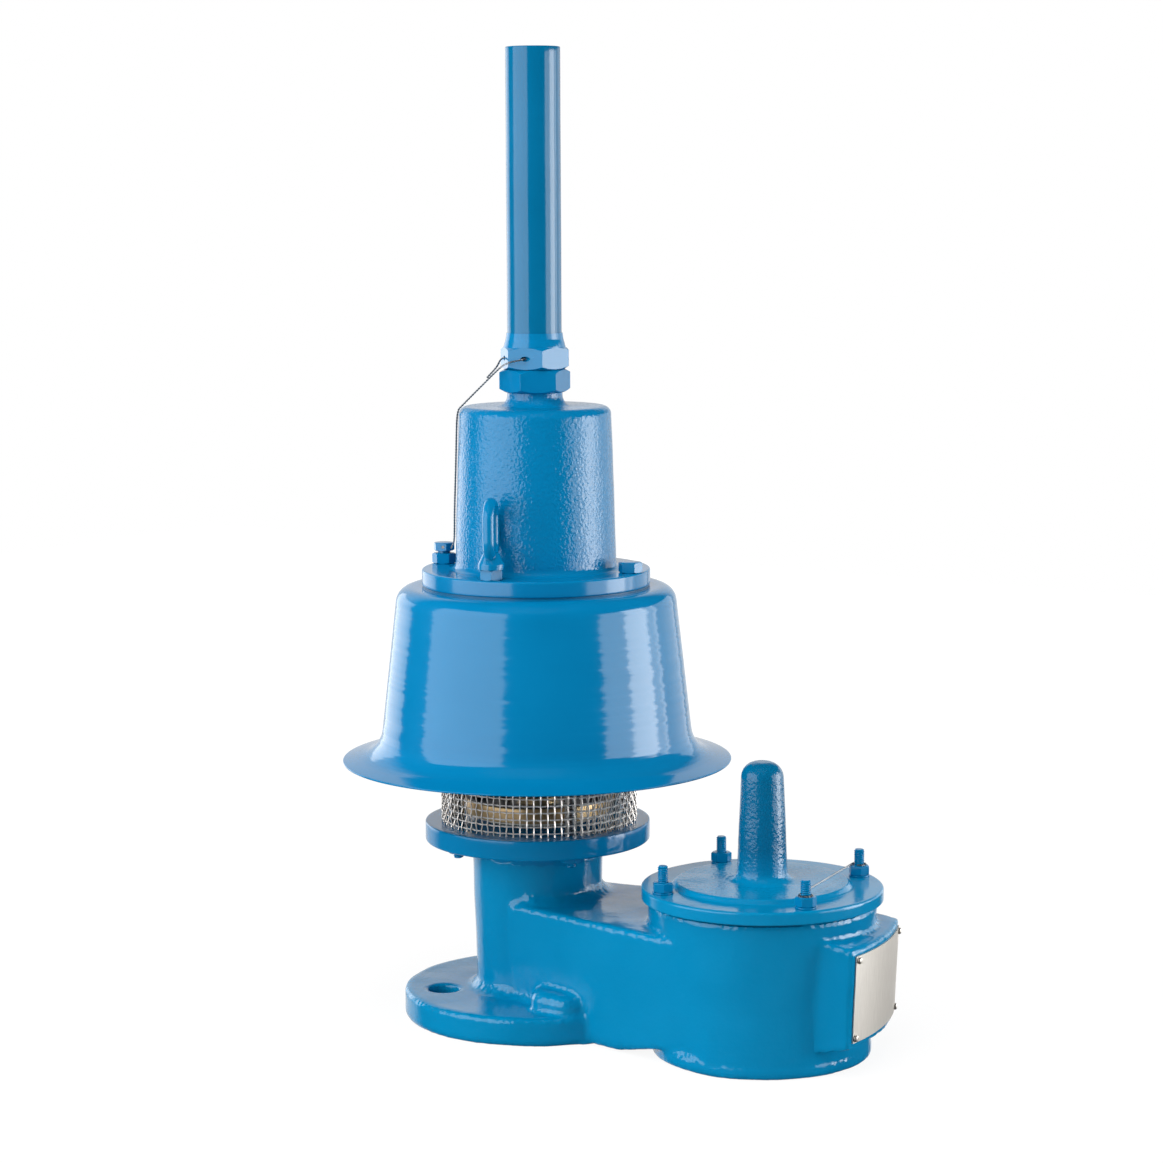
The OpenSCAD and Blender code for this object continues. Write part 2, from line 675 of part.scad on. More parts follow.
module bonnet_bolts() {
    color("#1f7fb8") for (i = [0, 1]) at_bonnet_bolt(i) {
        hex_nut(bolt_af, bolt_nut_h, bonnet_face, 12);
        rod(bolt_d, bolt_foot, bonnet_face + 1);
    }
}
module seal_bolt() {
    color("#1f7fb8") at_bonnet_bolt(2) difference() {
        union() {
            hex_nut(bolt_af - 1, seal_head_h, seal_head_z, 8);
            rod(bolt_d, bolt_foot, seal_head_z + 1);
        }
        translate([0, 0, seal_head_z + seal_head_h / 2]) rotate([90, 0, 20])
            cylinder(d = 2, h = 2 * bolt_af, center = true);
    }
}
module seal_bolt_nut() {
    color("#1f7fb8") at_bonnet_bolt(2) drilled_nut(bolt_af, bolt_nut_h, bonnet_face, bolt_d + 2 * fit, 20);
}
module eye_stud() {
    color("#1f7fb8") at_bonnet_bolt(3) rod(bolt_d, bolt_foot, eye_z + eye_collar_h - 3);
}
module eye_lock_nut() {
    color("#1f7fb8") at_bonnet_bolt(3) drilled_nut(bolt_af, bolt_nut_h, bonnet_face, bolt_d + 2 * fit, 25);
}
module eye_bow(z, turn) {
    translate([0, 0, z]) rotate([90, 0, 0]) rotate(turn)
        rotate_extrude(angle = 180) translate([eye_bow_r, 0]) circle(d = eye_rod_d);
}
module lifting_eye() {
    color("#1f7fb8") at_bonnet_bolt(3) rotate(eye_turn - bonnet_bolt_turn - 270) difference() {
        union() {
            revolve([[0, eye_z, 0], [bolt_af / 2 + 1.5, eye_z, 0], [bolt_af / 2 + 1.5, eye_z + 3, 2],
                     [eye_rod_d / 2 + 1, eye_z + eye_collar_h, 0], [0, eye_z + eye_collar_h, 0]]);
            eye_bow(eye_bow_z[0], 180);
            eye_bow(eye_bow_z[1], 0);
            for (s = [-1, 1]) translate([s * eye_bow_r, 0]) rod(eye_rod_d, eye_bow_z[0], eye_bow_z[1]);
        }
        rod(bolt_d + 2 * fit, eye_z - cut, eye_z + eye_collar_h - 3);
    }
}

// Lock nut and stem housing
module lock_nut() {
    color("#1f7fb8") drilled_nut(hex_af, lock_nut_h, neck_top, screw_d + 2 * fit, lock_nut_turn);
}
module housing_hexagon() {
    color("#1f7fb8") difference() {
        union() {
            hex_nut(hex_af, housing_hex_h, housing_z, housing_turn);
            revolve([[0, housing_hex_top - 2, 0], [hex_af / 2, housing_hex_top - 2, 0], [hex_af / 2, housing_hex_top, 0],
                     [pipe_r + 1, housing_hex_top + 0.55 * collar_h, 6], [pipe_r + 0.5, collar_top, 0], [0, collar_top, 0]]);
        }
        rod(screw_d + 2 * fit, housing_z - cut, pipe_foot + cut);
        rod(pipe_d + 2 * fit, pipe_foot, collar_top + cut);
        // The hole for the seal wire cuts the corner between two faces
        rotate(wire_hole_face + 30) translate([hex_af / 2 * cos(30), 0, wire_hole_z]) rotate([90, 0, 0])
            cylinder(d = wire_hole_d, h = hex_af, center = true);
    }
}
module housing_pipe() {
    color("#1f7fb8") washer(pipe_d, pipe_d - 2 * pipe_wall, pipe_foot, pipe_top - pipe_foot);
}
module housing_end_disc() {
    color("#1f7fb8") rod(pipe_d - 2 * pipe_wall - 2 * fit, pipe_top - end_disc_t, pipe_top);
}
module seal_wire() { color("#8d9399") swept(seal_route, wire_d / 2, 8); }

// Pressure pallet, stem and spring
module pressure_pallet() {
    r = pallet_d / 2;
    bore = stem_r + fit;
    top = plate_z + pallet_plate_t;
    rim = seal_z + rim_drop + rim_h;
    color("#b89b6a") revolve([[bore, plate_z, 0], [r - rim_w, plate_z, 0], [r - rim_w, seal_z + rim_drop, 0],
                              [r, seal_z + rim_drop, 0.8], [r, rim, 0.8], [r - rim_w, rim, 0.8],
                              [r - rim_w, top, 2], [hub_d / 2, top, 2], [hub_d / 2, plate_z + hub_h, 1],
                              [bore, plate_z + hub_h, 0]]);
}
module pressure_seal() {
    color("#e8e4d8") washer(pallet_d - 2 * rim_w - 2 * fit, stem_d + 2 * fit, seal_z, seal_t);
}
module pressure_retainer() {
    color("#c9ccd0") washer(port_d - 5, stem_d + 2 * fit, seal_z - retainer_t, retainer_t);
}
module stem_nuts(lower_z, upper_z) {
    for (z = [lower_z, upper_z]) drilled_nut(stem_nut_af, stem_nut_h, z, stem_d + 2 * fit);
}
module pressure_stem_nuts() {
    color("#c9ccd0") stem_nuts(seal_z - retainer_t - stem_nut_h, plate_z + hub_h);
}
module pressure_stem() {
    color("#c9ccd0") difference() {
        rod(stem_d, stem_foot, stem_top);
        translate([0, 0, lower_button_z + button_t / 2]) rotate([90, 0, 0])
            cylinder(d = stem_pin_d + 2 * fit, h = 4 * stem_d, center = true);
    }
}
module spring_button(z0, up, bore) {
    difference() {
        union() {
            rod(button_d, z0, z0 + button_t);
            rod(button_hub_d, z0 - (up ? 0 : button_hub_h), z0 + button_t + (up ? button_hub_h : 0));
        }
        rod(bore, z0 - 2 * button_t, z0 + 3 * button_t);
    }
}
module lower_spring_button() {
    color("#6f747a") difference() {
        spring_button(lower_button_z, true, stem_d + 2 * fit);
        translate([0, 0, lower_button_z + button_t / 2]) rotate([90, 0, 0])
            cylinder(d = stem_pin_d + 2 * fit, h = 2 * button_d, center = true);
    }
}
module stem_pin() {
    color("#c9ccd0") translate([0, 0, lower_button_z + button_t / 2]) rotate([90, 0, 0])
        cylinder(d = stem_pin_d, h = button_d - 2, center = true);
}
module pressure_spring() {
    steps = 14;
    total = spring_turns * steps;
    rise = spring_h - spring_wire_d - 0.2;
    route = [for (i = [0 : total])
        let (turn = 360 * i / steps)
        [spring_d / 2 * cos(turn), spring_d / 2 * sin(turn), spring_z + spring_wire_d / 2 + 0.1 + rise * i / total]];
    color("#8a8f96") swept(route, spring_wire_d / 2, 8);
}
module upper_spring_button() { color("#6f747a") spring_button(upper_button_z, false, screw_bore_d); }
module adjusting_screw() {
    color("#c9ccd0") difference() {
        rod(screw_d, screw_z, screw_top);
        rod(screw_bore_d, screw_z - cut, screw_top + cut);
        translate([-screw_d, -screw_slot[0] / 2, screw_top - screw_slot[1]]) cube([2 * screw_d, screw_slot[0], 2 * screw_slot[1]]);
    }
}

// Drum cover and what holds it
module cover_gasket() {
    color("#2b2b2b") at_drum() difference() {
        washer(drum_d - 1, chamber_d, drum_h, gasket_t);
        around(cover_stud_circle_d, 4, cover_stud_turn) rod(stud_d + 2 * free, drum_h - cut, cover_z + cut);
    }
}
module drum_cover() {
    spigot_r = chamber_d / 2 - free;
    color("#1f7fb8") at_drum() difference() {
        revolve([[0, cover_z - spigot_h, 0], [spigot_r, cover_z - spigot_h, 0], [spigot_r, cover_z, 0],
                 [cover_d / 2, cover_z, 0.8], [cover_d / 2, cover_top, 1.5], [raised_d / 2 + 2, cover_top, 2],
                 [raised_d / 2, raised_z, 1.5], [guide_d / 2, raised_z, 6],
                 [(guide_d - guide_taper) / 2, guide_top, 9.5], [0, guide_top, 0]]);
        rod(cover_bush_d + 2 * fit, cover_z - spigot_h - cut, cover_z - spigot_h + cover_bush_h);
        rod(guide_bore_d, cover_z - spigot_h, guide_top - guide_crown);
        around(cover_stud_circle_d, 4, cover_stud_turn) rod(stud_d + 2 * free, cover_z - cut, cover_top + cut);
    }
}
module cover_bush() {
    color("#e8e4d8") at_drum() washer(cover_bush_d, stem_d + 2 * slide_fit, cover_z - spigot_h, cover_bush_h);
}
module cover_studs() {
    color("#1f7fb8") at_drum() around(cover_stud_circle_d, 4, cover_stud_turn)
        rod(stud_d, drum_h - stud_sunk, cover_top + stud_stand);
}
module cover_washers() {
    color("#1f7fb8") at_drum() around(cover_stud_circle_d, 4, cover_stud_turn)
        washer(small_nut_af + 1.4, stud_d + 2 * fit, cover_top, washer_t);
}
module cover_nuts() {
    color("#1f7fb8") at_drum() around(cover_stud_circle_d, 4, cover_stud_turn)
        drilled_nut(small_nut_af, small_nut_h, cover_top + washer_t, stud_d + 2 * fit, 15);
}
// A taut wire with a loop round each of two studs, lying on their nuts
module cover_seal_wire() {
    z = cover_top + washer_t + small_nut_h + wire_d / 2;
    loop_r = stud_d / 2 + fit + wire_d / 2;
    stud_r = cover_stud_circle_d / 2;
    ends = [for (i = [0, 3]) let (a = cover_stud_turn + 90 * i) stud_r * [cos(a), sin(a)]];
    heading = atan2(ends[1].y - ends[0].y, ends[1].x - ends[0].x);
    color("#8d9399") at_drum() translate([0, 0, z]) {
        for (p = ends) translate(p) rotate_extrude() translate([loop_r, 0]) circle(d = wire_d);
        translate(ends[0]) rotate(heading) translate([loop_r, 0, 0]) rotate([0, 90, 0])
            cylinder(d = wire_d * 0.8, h = norm(ends[1] - ends[0]) - 2 * loop_r);
    }
}

// Vacuum pallet
module vacuum_pallet() {
    r = vacuum_pallet_d / 2;
    bore = stem_r + fit;
    color("#c9ccd0") at_drum() revolve([[bore, vacuum_plate_z, 0], [r, vacuum_plate_z, 0.8], [r, weight_z, 0.8],
                                        [vacuum_hub_d / 2, weight_z, 0], [vacuum_hub_d / 2, vacuum_plate_z + vacuum_hub_h, 1],
                                        [bore, vacuum_plate_z + vacuum_hub_h, 0]]);
}
module vacuum_seal() { color("#e8e4d8") at_drum() washer(vacuum_pallet_d, stem_d + 2 * fit, vacuum_seal_z, seal_t); }
module vacuum_retainer() {
    color("#c9ccd0") at_drum() washer(vacuum_port_d - 6, stem_d + 2 * fit, vacuum_seal_z - retainer_t, retainer_t);
}
module vacuum_stem_nuts() {
    color("#c9ccd0") at_drum() stem_nuts(vacuum_seal_z - retainer_t - stem_nut_h, vacuum_plate_z + vacuum_hub_h);
}
module vacuum_stem() { color("#c9ccd0") at_drum() rod(stem_d, vacuum_stem_foot, vacuum_stem_top); }
module vacuum_weights() {
    color("#8a8f96") at_drum() for (i = [0 : weight_count - 1])
        washer(weight_d, vacuum_hub_d + 2 * fit, weight_z + i * (weight_t + fit), weight_t);
}

// Air inlet under the drum
module inlet_screen() {
    open_r = recess_d / 2 - retaining_ring_w - inlet_hole_d / 2 - 1;
    rows = floor(open_r / inlet_hole_pitch);
    color("#c9ccd0") at_drum() translate([0, 0, recess_h - inlet_screen_t]) linear_extrude(inlet_screen_t) difference() {
        circle(d = recess_d);
        for (x = [-rows : rows], y = [-rows : rows])
            let (place = inlet_hole_pitch * [x, y])
            if (norm(place) <= open_r) translate(place) circle(d = inlet_hole_d);
        for (i = [0 : 3]) rotate(45 + 90 * i) translate([retaining_screw_r, 0]) circle(d = retaining_screw_d + 2 * fit);
    }
}
module inlet_retaining_ring() {
    z = recess_h - inlet_screen_t - retaining_ring_t;
    color("#c9ccd0") at_drum() difference() {
        washer(recess_d, recess_d - 2 * retaining_ring_w, z, retaining_ring_t);
        around(2 * retaining_screw_r, 4, 45) rod(retaining_screw_d + 2 * fit, z - cut, recess_h);
    }
}
module inlet_screws() {
    z = recess_h - inlet_screen_t - retaining_ring_t;
    color("#c9ccd0") at_drum() around(2 * retaining_screw_r, 4, 45) {
        rod(retaining_screw_d, z - 0.5, recess_h + retaining_screw_grip - 1);
        revolve([[0, z - retaining_head_h, 0], [retaining_head_d / 2, z - retaining_head_h, 1],
                 [retaining_head_d / 2, z, 0], [0, z, 0]]);
    }
}

// Nameplate, bent to the pad's drafted face
module nameplate() {
    reach = 2 * pad_curve_r;
    half = plate_span / 2;
    color("#d9d5cc") difference() {
        at_pad() intersection() {
            rotate_extrude() translate([pad_curve_r - pad_draft / 2, (pad_z[0] + pad_z[1]) / 2]) rotate(-pad_lean)
                translate([fit, -plate_h / 2]) square([plate_t, plate_h]);
            linear_extrude(drum_h) polygon([[0, 0], reach * [cos(half), -sin(half)], reach * [cos(half), sin(half)]]);
        }
        at_plate_screws() translate([0, 0, -plate_screw_l]) cylinder(d = plate_screw_d + 2 * fit, h = 2 * plate_screw_l);
    }
}
module nameplate_screws() {
    color("#d9d5cc") at_plate_screws() {
        translate([0, 0, 1 - plate_screw_l]) cylinder(d = plate_screw_d, h = plate_screw_l + plate_t);
        translate([0, 0, plate_t + 4 * fit])
            revolve([[0, 0, 0], [plate_screw_head_d / 2, 0, 0], [plate_screw_head_d / 2, plate_screw_head_h, 1.1],
                     [0, plate_screw_head_h, 0]]);
    }
}

body_casting();
pressure_seat_ring();
vacuum_seat_ring();
posts();
post_nuts();
screen_uprights();
screen_hoops();
support_plate();
stem_bush();
hood();
bonnet_gasket();
bonnet();
bonnet_bolts();
seal_bolt();
seal_bolt_nut();
eye_stud();
eye_lock_nut();
lifting_eye();
lock_nut();
housing_hexagon();
housing_pipe();
housing_end_disc();
seal_wire();
pressure_pallet();
pressure_seal();
pressure_retainer();
pressure_stem_nuts();
pressure_stem();
lower_spring_button();
stem_pin();
pressure_spring();
upper_spring_button();
adjusting_screw();
cover_gasket();
drum_cover();
cover_bush();
cover_studs();
cover_washers();
cover_nuts();
cover_seal_wire();
vacuum_pallet();
vacuum_seal();
vacuum_retainer();
vacuum_stem_nuts();
vacuum_stem();
vacuum_weights();
inlet_screen();
inlet_retaining_ring();
inlet_screws();
nameplate();
nameplate_screws();
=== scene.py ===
# %% [markdown]
# # A tank breather valve, dressed in Blender
# The valve lets a storage tank breathe: a spring loaded pallet under the weather hood lets pressure out,
# and a weight loaded pallet in the side drum lets air in. The CAD frame already holds every solid in
# metres, so this lesson only adds what CAD leaves out: soft cast edges, woven wire, threads, a twisted seal
# wire, paint and light.

# %% The frame
import json
import math

import bmesh
import bpy
import numpy as np
from mathutils import Matrix


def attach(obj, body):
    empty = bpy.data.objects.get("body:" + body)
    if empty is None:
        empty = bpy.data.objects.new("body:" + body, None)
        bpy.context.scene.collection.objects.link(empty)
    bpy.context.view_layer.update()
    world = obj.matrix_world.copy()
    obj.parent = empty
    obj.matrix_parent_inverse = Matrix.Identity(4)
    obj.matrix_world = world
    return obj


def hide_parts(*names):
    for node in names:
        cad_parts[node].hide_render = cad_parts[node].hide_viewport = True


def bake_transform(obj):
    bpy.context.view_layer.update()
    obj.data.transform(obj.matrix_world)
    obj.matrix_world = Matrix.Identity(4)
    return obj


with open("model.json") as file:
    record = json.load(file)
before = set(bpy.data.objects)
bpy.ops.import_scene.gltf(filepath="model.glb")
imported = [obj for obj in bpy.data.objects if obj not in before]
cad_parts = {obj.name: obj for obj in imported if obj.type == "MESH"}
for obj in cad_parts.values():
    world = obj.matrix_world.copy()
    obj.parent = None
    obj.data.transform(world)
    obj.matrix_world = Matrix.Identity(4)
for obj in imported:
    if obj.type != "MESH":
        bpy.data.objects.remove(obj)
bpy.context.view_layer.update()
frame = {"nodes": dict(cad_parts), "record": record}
MM = 0.001

# %% [markdown]
# ## Camera
# The photograph was taken with a long lens, a little above the hood and about 1.9 m away. A perspective fit
# of the circles in it gave the focal length in pixels, the place of the camera and its three small turns.
# The fit was made in a frame that looks straight at the valve, so the whole camera is turned about the
# upright axis into the CAD frame.

# %% The camera at the photograph's place
PHOTO_PX = 1163
FOCAL_PX = 3048
SENSOR = 36
VIEW_TURN = math.radians(35)
EYE = np.array([0.0, -1.870, 0.516])
PITCH, YAW, ROLL = np.radians([7.43, 0.86, -0.27])


def turned_into_frame(vector):
    """A vector of the photograph's frame in the CAD frame: x and y turned by VIEW_TURN about +Z."""
    c, s = math.cos(VIEW_TURN), math.sin(VIEW_TURN)
    x, y, z = vector
    return np.array([c * x - s * y, s * x + c * y, z])


def photo_camera():
    """The camera looks along (sin yaw cos pitch, cos yaw cos pitch, -sin pitch), rolled about that line."""
    ahead = np.array([math.sin(YAW) * math.cos(PITCH), math.cos(YAW) * math.cos(PITCH), -math.sin(PITCH)])
    right = np.array([math.cos(YAW), -math.sin(YAW), 0])
    up = np.cross(right, ahead)
    rolled_right = math.cos(ROLL) * right + math.sin(ROLL) * up
    rolled_up = math.cos(ROLL) * up - math.sin(ROLL) * right
    lens = bpy.data.cameras.new("photo_camera")
    lens.sensor_width = SENSOR
    lens.lens = SENSOR * FOCAL_PX / PHOTO_PX
    camera = bpy.data.objects.new("photo_camera", lens)
    bpy.context.scene.collection.objects.link(camera)
    place = np.eye(4)
    for column, axis in enumerate((rolled_right, rolled_up, -ahead, EYE)):
        place[:3, column] = turned_into_frame(axis)
    camera.matrix_world = Matrix(place.tolist())
    return camera


bpy.context.scene.camera = photo_camera()
bpy.context.scene.view_settings.view_transform = "Standard"
print("lens", round(bpy.context.scene.camera.data.lens, 2), "mm")

# %% [markdown]
# ## Colours and shader nodes
# Paint colours are written as sRGB hex codes, as a paint card gives them, and Cycles wants linear light, so
# one function converts them. Every shader below is built from a dozen nodes, and one small function adds
# any of them: it sets the node's own properties, then fills or links its input sockets.

# %% Two helpers for every finish
def linear(code):
    """An sRGB hex colour as linear RGBA: c / 12.92 when c is dark, else ((c + 0.055) / 1.055) ^ 2.4."""
    c = np.array([int(code[i:i + 2], 16) for i in (1, 3, 5)]) / 255
    light = np.where(c <= 0.04045, c / 12.92, ((c + 0.055) / 1.055) ** 2.4)
    return (*light.tolist(), 1.0)


def add(owner, kind, sockets=None, **settings):
    """Adds one shader node. A socket takes a number, a colour or another node's output, which is linked."""
    tree = owner.node_tree
    made = tree.nodes.new("ShaderNode" + kind)
    for name, value in settings.items():
        setattr(made, name, value)
    for name, value in (sockets or {}).items():
        if isinstance(value, bpy.types.NodeSocket):
            tree.links.new(value, made.inputs[name])
        else:
            made.inputs[name].default_value = value
    return made


def blank(kind, name):
    """An empty material or world, ready for nodes."""
    made = kind.new(name)
    made.use_nodes = True
    made.node_tree.nodes.clear()
    return made


print("mid grey in linear light:", round(linear("#808080")[0], 3))

# %% [markdown]
# ## Studio
# The valve stands on pale paper in front of a white backdrop. White paper could be had from strong light
# alone, but that light would be too much for the paint. So the paper has two parts: near the valve a share
# of real diffuse light keeps its soft shadow, and further out the paper turns into plain white. Glossy rays
# don't see it, because the paint of the real valve mirrors no bright floor.

# %% Floor paper
FLOOR_HALF = 2.0
SHADE_REACH = (0.35, 1.3)
PAPER_KEPT = 0.16
PAPER_GREY = "#CCCCCB"
PAPER_GLOW = 1.09


def studio_paper():
    """White paper: near the valve a share of diffuse light keeps its shadow, far away it is plain white."""
    paper = blank(bpy.data.materials, "studio_paper")
    rays = add(paper, "LightPath").outputs
    seen = add(paper, "Math", {0: rays["Is Camera Ray"], 1: rays["Is Transmission Ray"]},
               operation="MAXIMUM")
    place = add(paper, "TexCoord").outputs["Object"]
    away = add(paper, "VectorMath", {0: place}, operation="LENGTH").outputs["Value"]
    white = add(paper, "MapRange", {"Value": away, "From Min": SHADE_REACH[0], "From Max": SHADE_REACH[1],
                                    "To Min": 1 - PAPER_KEPT, "To Max": 1.0},
                interpolation_type="SMOOTHSTEP")
    share = add(paper, "Math", {0: seen.outputs[0], 1: white.outputs[0]}, operation="MULTIPLY")
    lit = add(paper, "BsdfDiffuse", {"Color": linear(PAPER_GREY)})
    plain = add(paper, "Emission", {"Color": linear("#FFFFFF"), "Strength": PAPER_GLOW})
    mixed = add(paper, "MixShader", {0: share.outputs[0], 1: lit.outputs[0], 2: plain.outputs[0]})
    add(paper, "OutputMaterial", {"Surface": mixed.outputs[0]})
    return paper


def floor_sheet():
    """A square of paper under the valve, with corners at plus and minus FLOOR_HALF."""
    corners = FLOOR_HALF * np.array([[-1, -1, 0], [1, -1, 0], [1, 1, 0], [-1, 1, 0]])
    sheet = bpy.data.meshes.new("floor_paper")
    sheet.from_pydata(corners.tolist(), [], [[0, 1, 2, 3]])
    floor = bpy.data.objects.new("floor_paper", sheet)
    bpy.context.scene.collection.objects.link(floor)
    floor.data.materials.append(studio_paper())
    floor.visible_glossy = False
    return floor


print("floor:", floor_sheet().name)

# %% [markdown]
# ## The room
# A photographer's room is dim, apart from what is lit on purpose. The camera has to see plain white behind
# the valve, while glossy paint should mirror a dim room with one pale backdrop. Light Path tells which kind
# of ray asks, so one world can answer each of them in its own way.

# %% World
AMBIENT = 0.12
DARK_ROOM = 0.03
BACKDROP = 0.85
BACKDROP_TURN = math.radians(12)
BACKDROP_EDGE = (0.66, 0.82)


def studio_world():
    """White for the camera; for gloss, dim all round and white towards the backdrop; else a plain grey."""
    world = blank(bpy.data.worlds, "studio")
    rays = add(world, "LightPath").outputs
    heading = add(world, "TexCoord").outputs["Generated"]
    away = tuple(turned_into_frame((-math.sin(BACKDROP_TURN), math.cos(BACKDROP_TURN), 0)))
    facing = add(world, "VectorMath", {0: heading, 1: away}, operation="DOT_PRODUCT").outputs["Value"]
    backdrop = add(world, "MapRange", {"Value": facing, "From Min": BACKDROP_EDGE[0],
                                       "From Max": BACKDROP_EDGE[1],
                                       "To Min": DARK_ROOM, "To Max": BACKDROP}).outputs[0]
    gloss = add(world, "Mix", {0: rays["Is Glossy Ray"], 2: AMBIENT, 3: backdrop}).outputs[0]
    seen = add(world, "Math", {0: rays["Is Camera Ray"], 1: rays["Is Transmission Ray"]},
               operation="MAXIMUM")
    level = add(world, "Mix", {0: seen.outputs[0], 2: gloss, 3: 1.0}).outputs[0]
    glow = add(world, "Background", {"Color": linear("#FFFFFF"), "Strength": level})
    add(world, "OutputWorld", {"Surface": glow.outputs[0]})
    return world


bpy.context.scene.world = studio_world()
print("world: ambient", AMBIENT)

# %% [markdown]
# ## Soft boxes
# Large cloth boxes stand left and right of the valve, smaller ones behind it, and one hangs over it. The
# paint is glossy, so on a cylinder each box shows as an upright band whose edges are where the box ends.
# Their bearings are read off the bands on the hood, and the unlit room behind the camera makes the dark
# band between them. Area lamps are the plain way to make soft boxes, and a lamp of radiance L and area A
# needs L times pi times A watts. Boxes that only fill shadows are kept out of the gloss.

# %% Soft boxes
AIM = np.array([0.03, 0.02, 0.25])
HANGING = 1.5
# Name, bearing in degrees, distance, height, width and tallness in metres, radiance, seen in the gloss
BOXES = [("left_box", -58, 1.5, 0.68, 1.95, 1.44, 2.2, True),
         ("left_fill", -80, 1.6, 0.70, 1.6, 1.6, 1.9, False),
         ("left_rear_box", -138, 1.6, 0.30, 1.1, 0.9, 1.3, True),
         ("right_box", 81, 1.6, 0.30, 1.92, 0.9, 2.9, True),
         ("right_strip", 86, 1.4, 0.30, 0.62, 0.9, 4.6, True),
         ("right_rear_box", 128, 1.6, 0.30, 1.16, 0.9, 1.2, True),
         ("top_box", -15, 0.9, 1.9, 1.5, 1.5, 4.1, False),
         ("back_fill", 180, 2.4, 1.2, 1.6, 1.4, 0.7, False)]


def soft_box(name, bearing, distance, height, width, tall, radiance, in_gloss):
    """An area lamp at a bearing right of the camera, upright, or facing the valve where it hangs above it.
    Its power is radiance times pi times its area."""
    lamp = bpy.data.lights.new(name, "AREA")
    lamp.shape = "RECTANGLE"
    lamp.size, lamp.size_y = width, tall
    lamp.energy = radiance * math.pi * width * tall
    box = bpy.data.objects.new(name, lamp)
    bpy.context.scene.collection.objects.link(box)
    angle = math.radians(bearing)
    place = turned_into_frame((distance * math.sin(angle), -distance * math.cos(angle), height))
    place = place + AIM * (1, 1, 0)
    back = place - AIM if height > HANGING else (place - AIM) * (1, 1, 0)
    back = back / np.linalg.norm(back)
    side = np.cross((0, 0, 1), back)
    side = side / np.linalg.norm(side)
    pose = np.eye(4)
    pose[:3, :4] = np.column_stack([side, np.cross(back, side), back, place])
    box.matrix_world = Matrix(pose.tolist())
    box.visible_camera = False
    box.visible_glossy = in_gloss
    return box


for box in BOXES:
    soft_box(*box)
print("lamps:", len(bpy.data.lights))

# %% [markdown]
# ## Marks in the paint
# Spun sheet keeps fine rings from the spinning tool. The tool also chatters, which tilts the surface a
# little to and fro along each ring, so a reflection's upright edge turns ragged. A bump whose height
# differs from ring to ring would only tilt it up and down, so the sideways tilt is mixed straight into the
# normal. On the slopes of the big casting wet paint sagged into wrinkles, and a mask from the slope says
# where.

# %% Chatter and sags
CHATTER_MM = 2.4
CHATTER_DETAIL = 2.0
CHATTER_TILT = 0.06
RING_DRIFT = 0.02


def per_mm(size):
    """The noise scale whose grain is size millimetres, on Object coordinates in metres."""
    return 1 / (size * MM)


def spun_normal(paint, place):
    """The normal tilted along the ring by a noise of the height: n + (n x up) 2 tilt (noise - 1/2)."""
    parts = add(paint, "SeparateXYZ", {0: place}).outputs
    drift = add(paint, "Math", {0: parts[0], 1: RING_DRIFT}, operation="MULTIPLY").outputs[0]
    level = add(paint, "CombineXYZ", {0: drift, 2: parts[2]}).outputs[0]
    ring = add(paint, "TexNoise", {"Vector": level, "Scale": per_mm(CHATTER_MM),
                                   "Detail": CHATTER_DETAIL}).outputs[0]
    swing = add(paint, "MapRange", {"Value": ring, "To Min": -CHATTER_TILT,
                                    "To Max": CHATTER_TILT}).outputs[0]
    normal = add(paint, "NewGeometry").outputs["Normal"]
    along = add(paint, "VectorMath", {0: normal, 1: (0, 0, 1)}, operation="CROSS_PRODUCT").outputs[0]
    tilt = add(paint, "VectorMath", {0: along, "Scale": swing}, operation="SCALE").outputs[0]
    leaning = add(paint, "VectorMath", {0: normal, 1: tilt}, operation="ADD").outputs[0]
    return add(paint, "VectorMath", {0: leaning}, operation="NORMALIZE").outputs[0]


def sag_share(paint):
    """1 on a slope halfway between level and upright, 0 on both: 4 n (1 - n), n the normal's height."""
    rise = add(paint, "SeparateXYZ", {0: add(paint, "NewGeometry").outputs["Normal"]}).outputs[2]
    rest = add(paint, "Math", {0: 1.0, 1: rise}, operation="SUBTRACT").outputs[0]
    both = add(paint, "Math", {0: rise, 1: rest}, operation="MULTIPLY").outputs[0]
    return add(paint, "Math", {0: both, 1: 4.0}, operation="MULTIPLY", use_clamp=True).outputs[0]


print("chatter: every", CHATTER_MM, "mm, sags on slopes")

# %% [markdown]
# ## Blue enamel
# All outer metal carries one coat of blue enamel. It is a dielectric gloss over a coloured coat, so a
# Principled shader with an index of 1.5 and a low roughness is enough, and what tells the pieces apart is
# the metal under the coat: sand cast iron is pebbled at a millimetre or two, turned steel is nearly flat
# with a little orange peel, and spun sheet shows its rings. The one blue is written in copies of different
# lightness, as painted light and shade: lighter on the body casting and its cover, darker on the hood, the
# bonnet and the turned steel, darker still on the pipe. On the tall guide of the cover a mask from the
# level turns the blue to the pipe's, as painted shade. The pebbles of a casting start above a level in the
# same way, so that its turned flanges stay smooth.

# %% Enamel, on several kinds of metal
# One blue in copies of painted light and shade; the gasket edge's darkest is painted shade in its crease
LIT_BODY_BLUE = ("#0078A7", "#0083B3")
SHADED_HOOD_BLUE = ("#006D9E", "#0077AA")
SHADED_PIPE_BLUE = ("#005F88", "#006995")
SHADED_BLUE = ("#00557C", "#006189")
PATCH_MM = 45
PATCH_DETAIL = 3.0
PEEL_MM = 2.6
GUIDE_SHADE_FADE_MM = 20
CAST_FADE_MM = 4
PATCH_SPAN = (0.3, 0.7)
SHINE_SPAN = (0.8, 1.25)
BUMP_DETAIL = 1.0
ENAMEL_IOR = 1.5


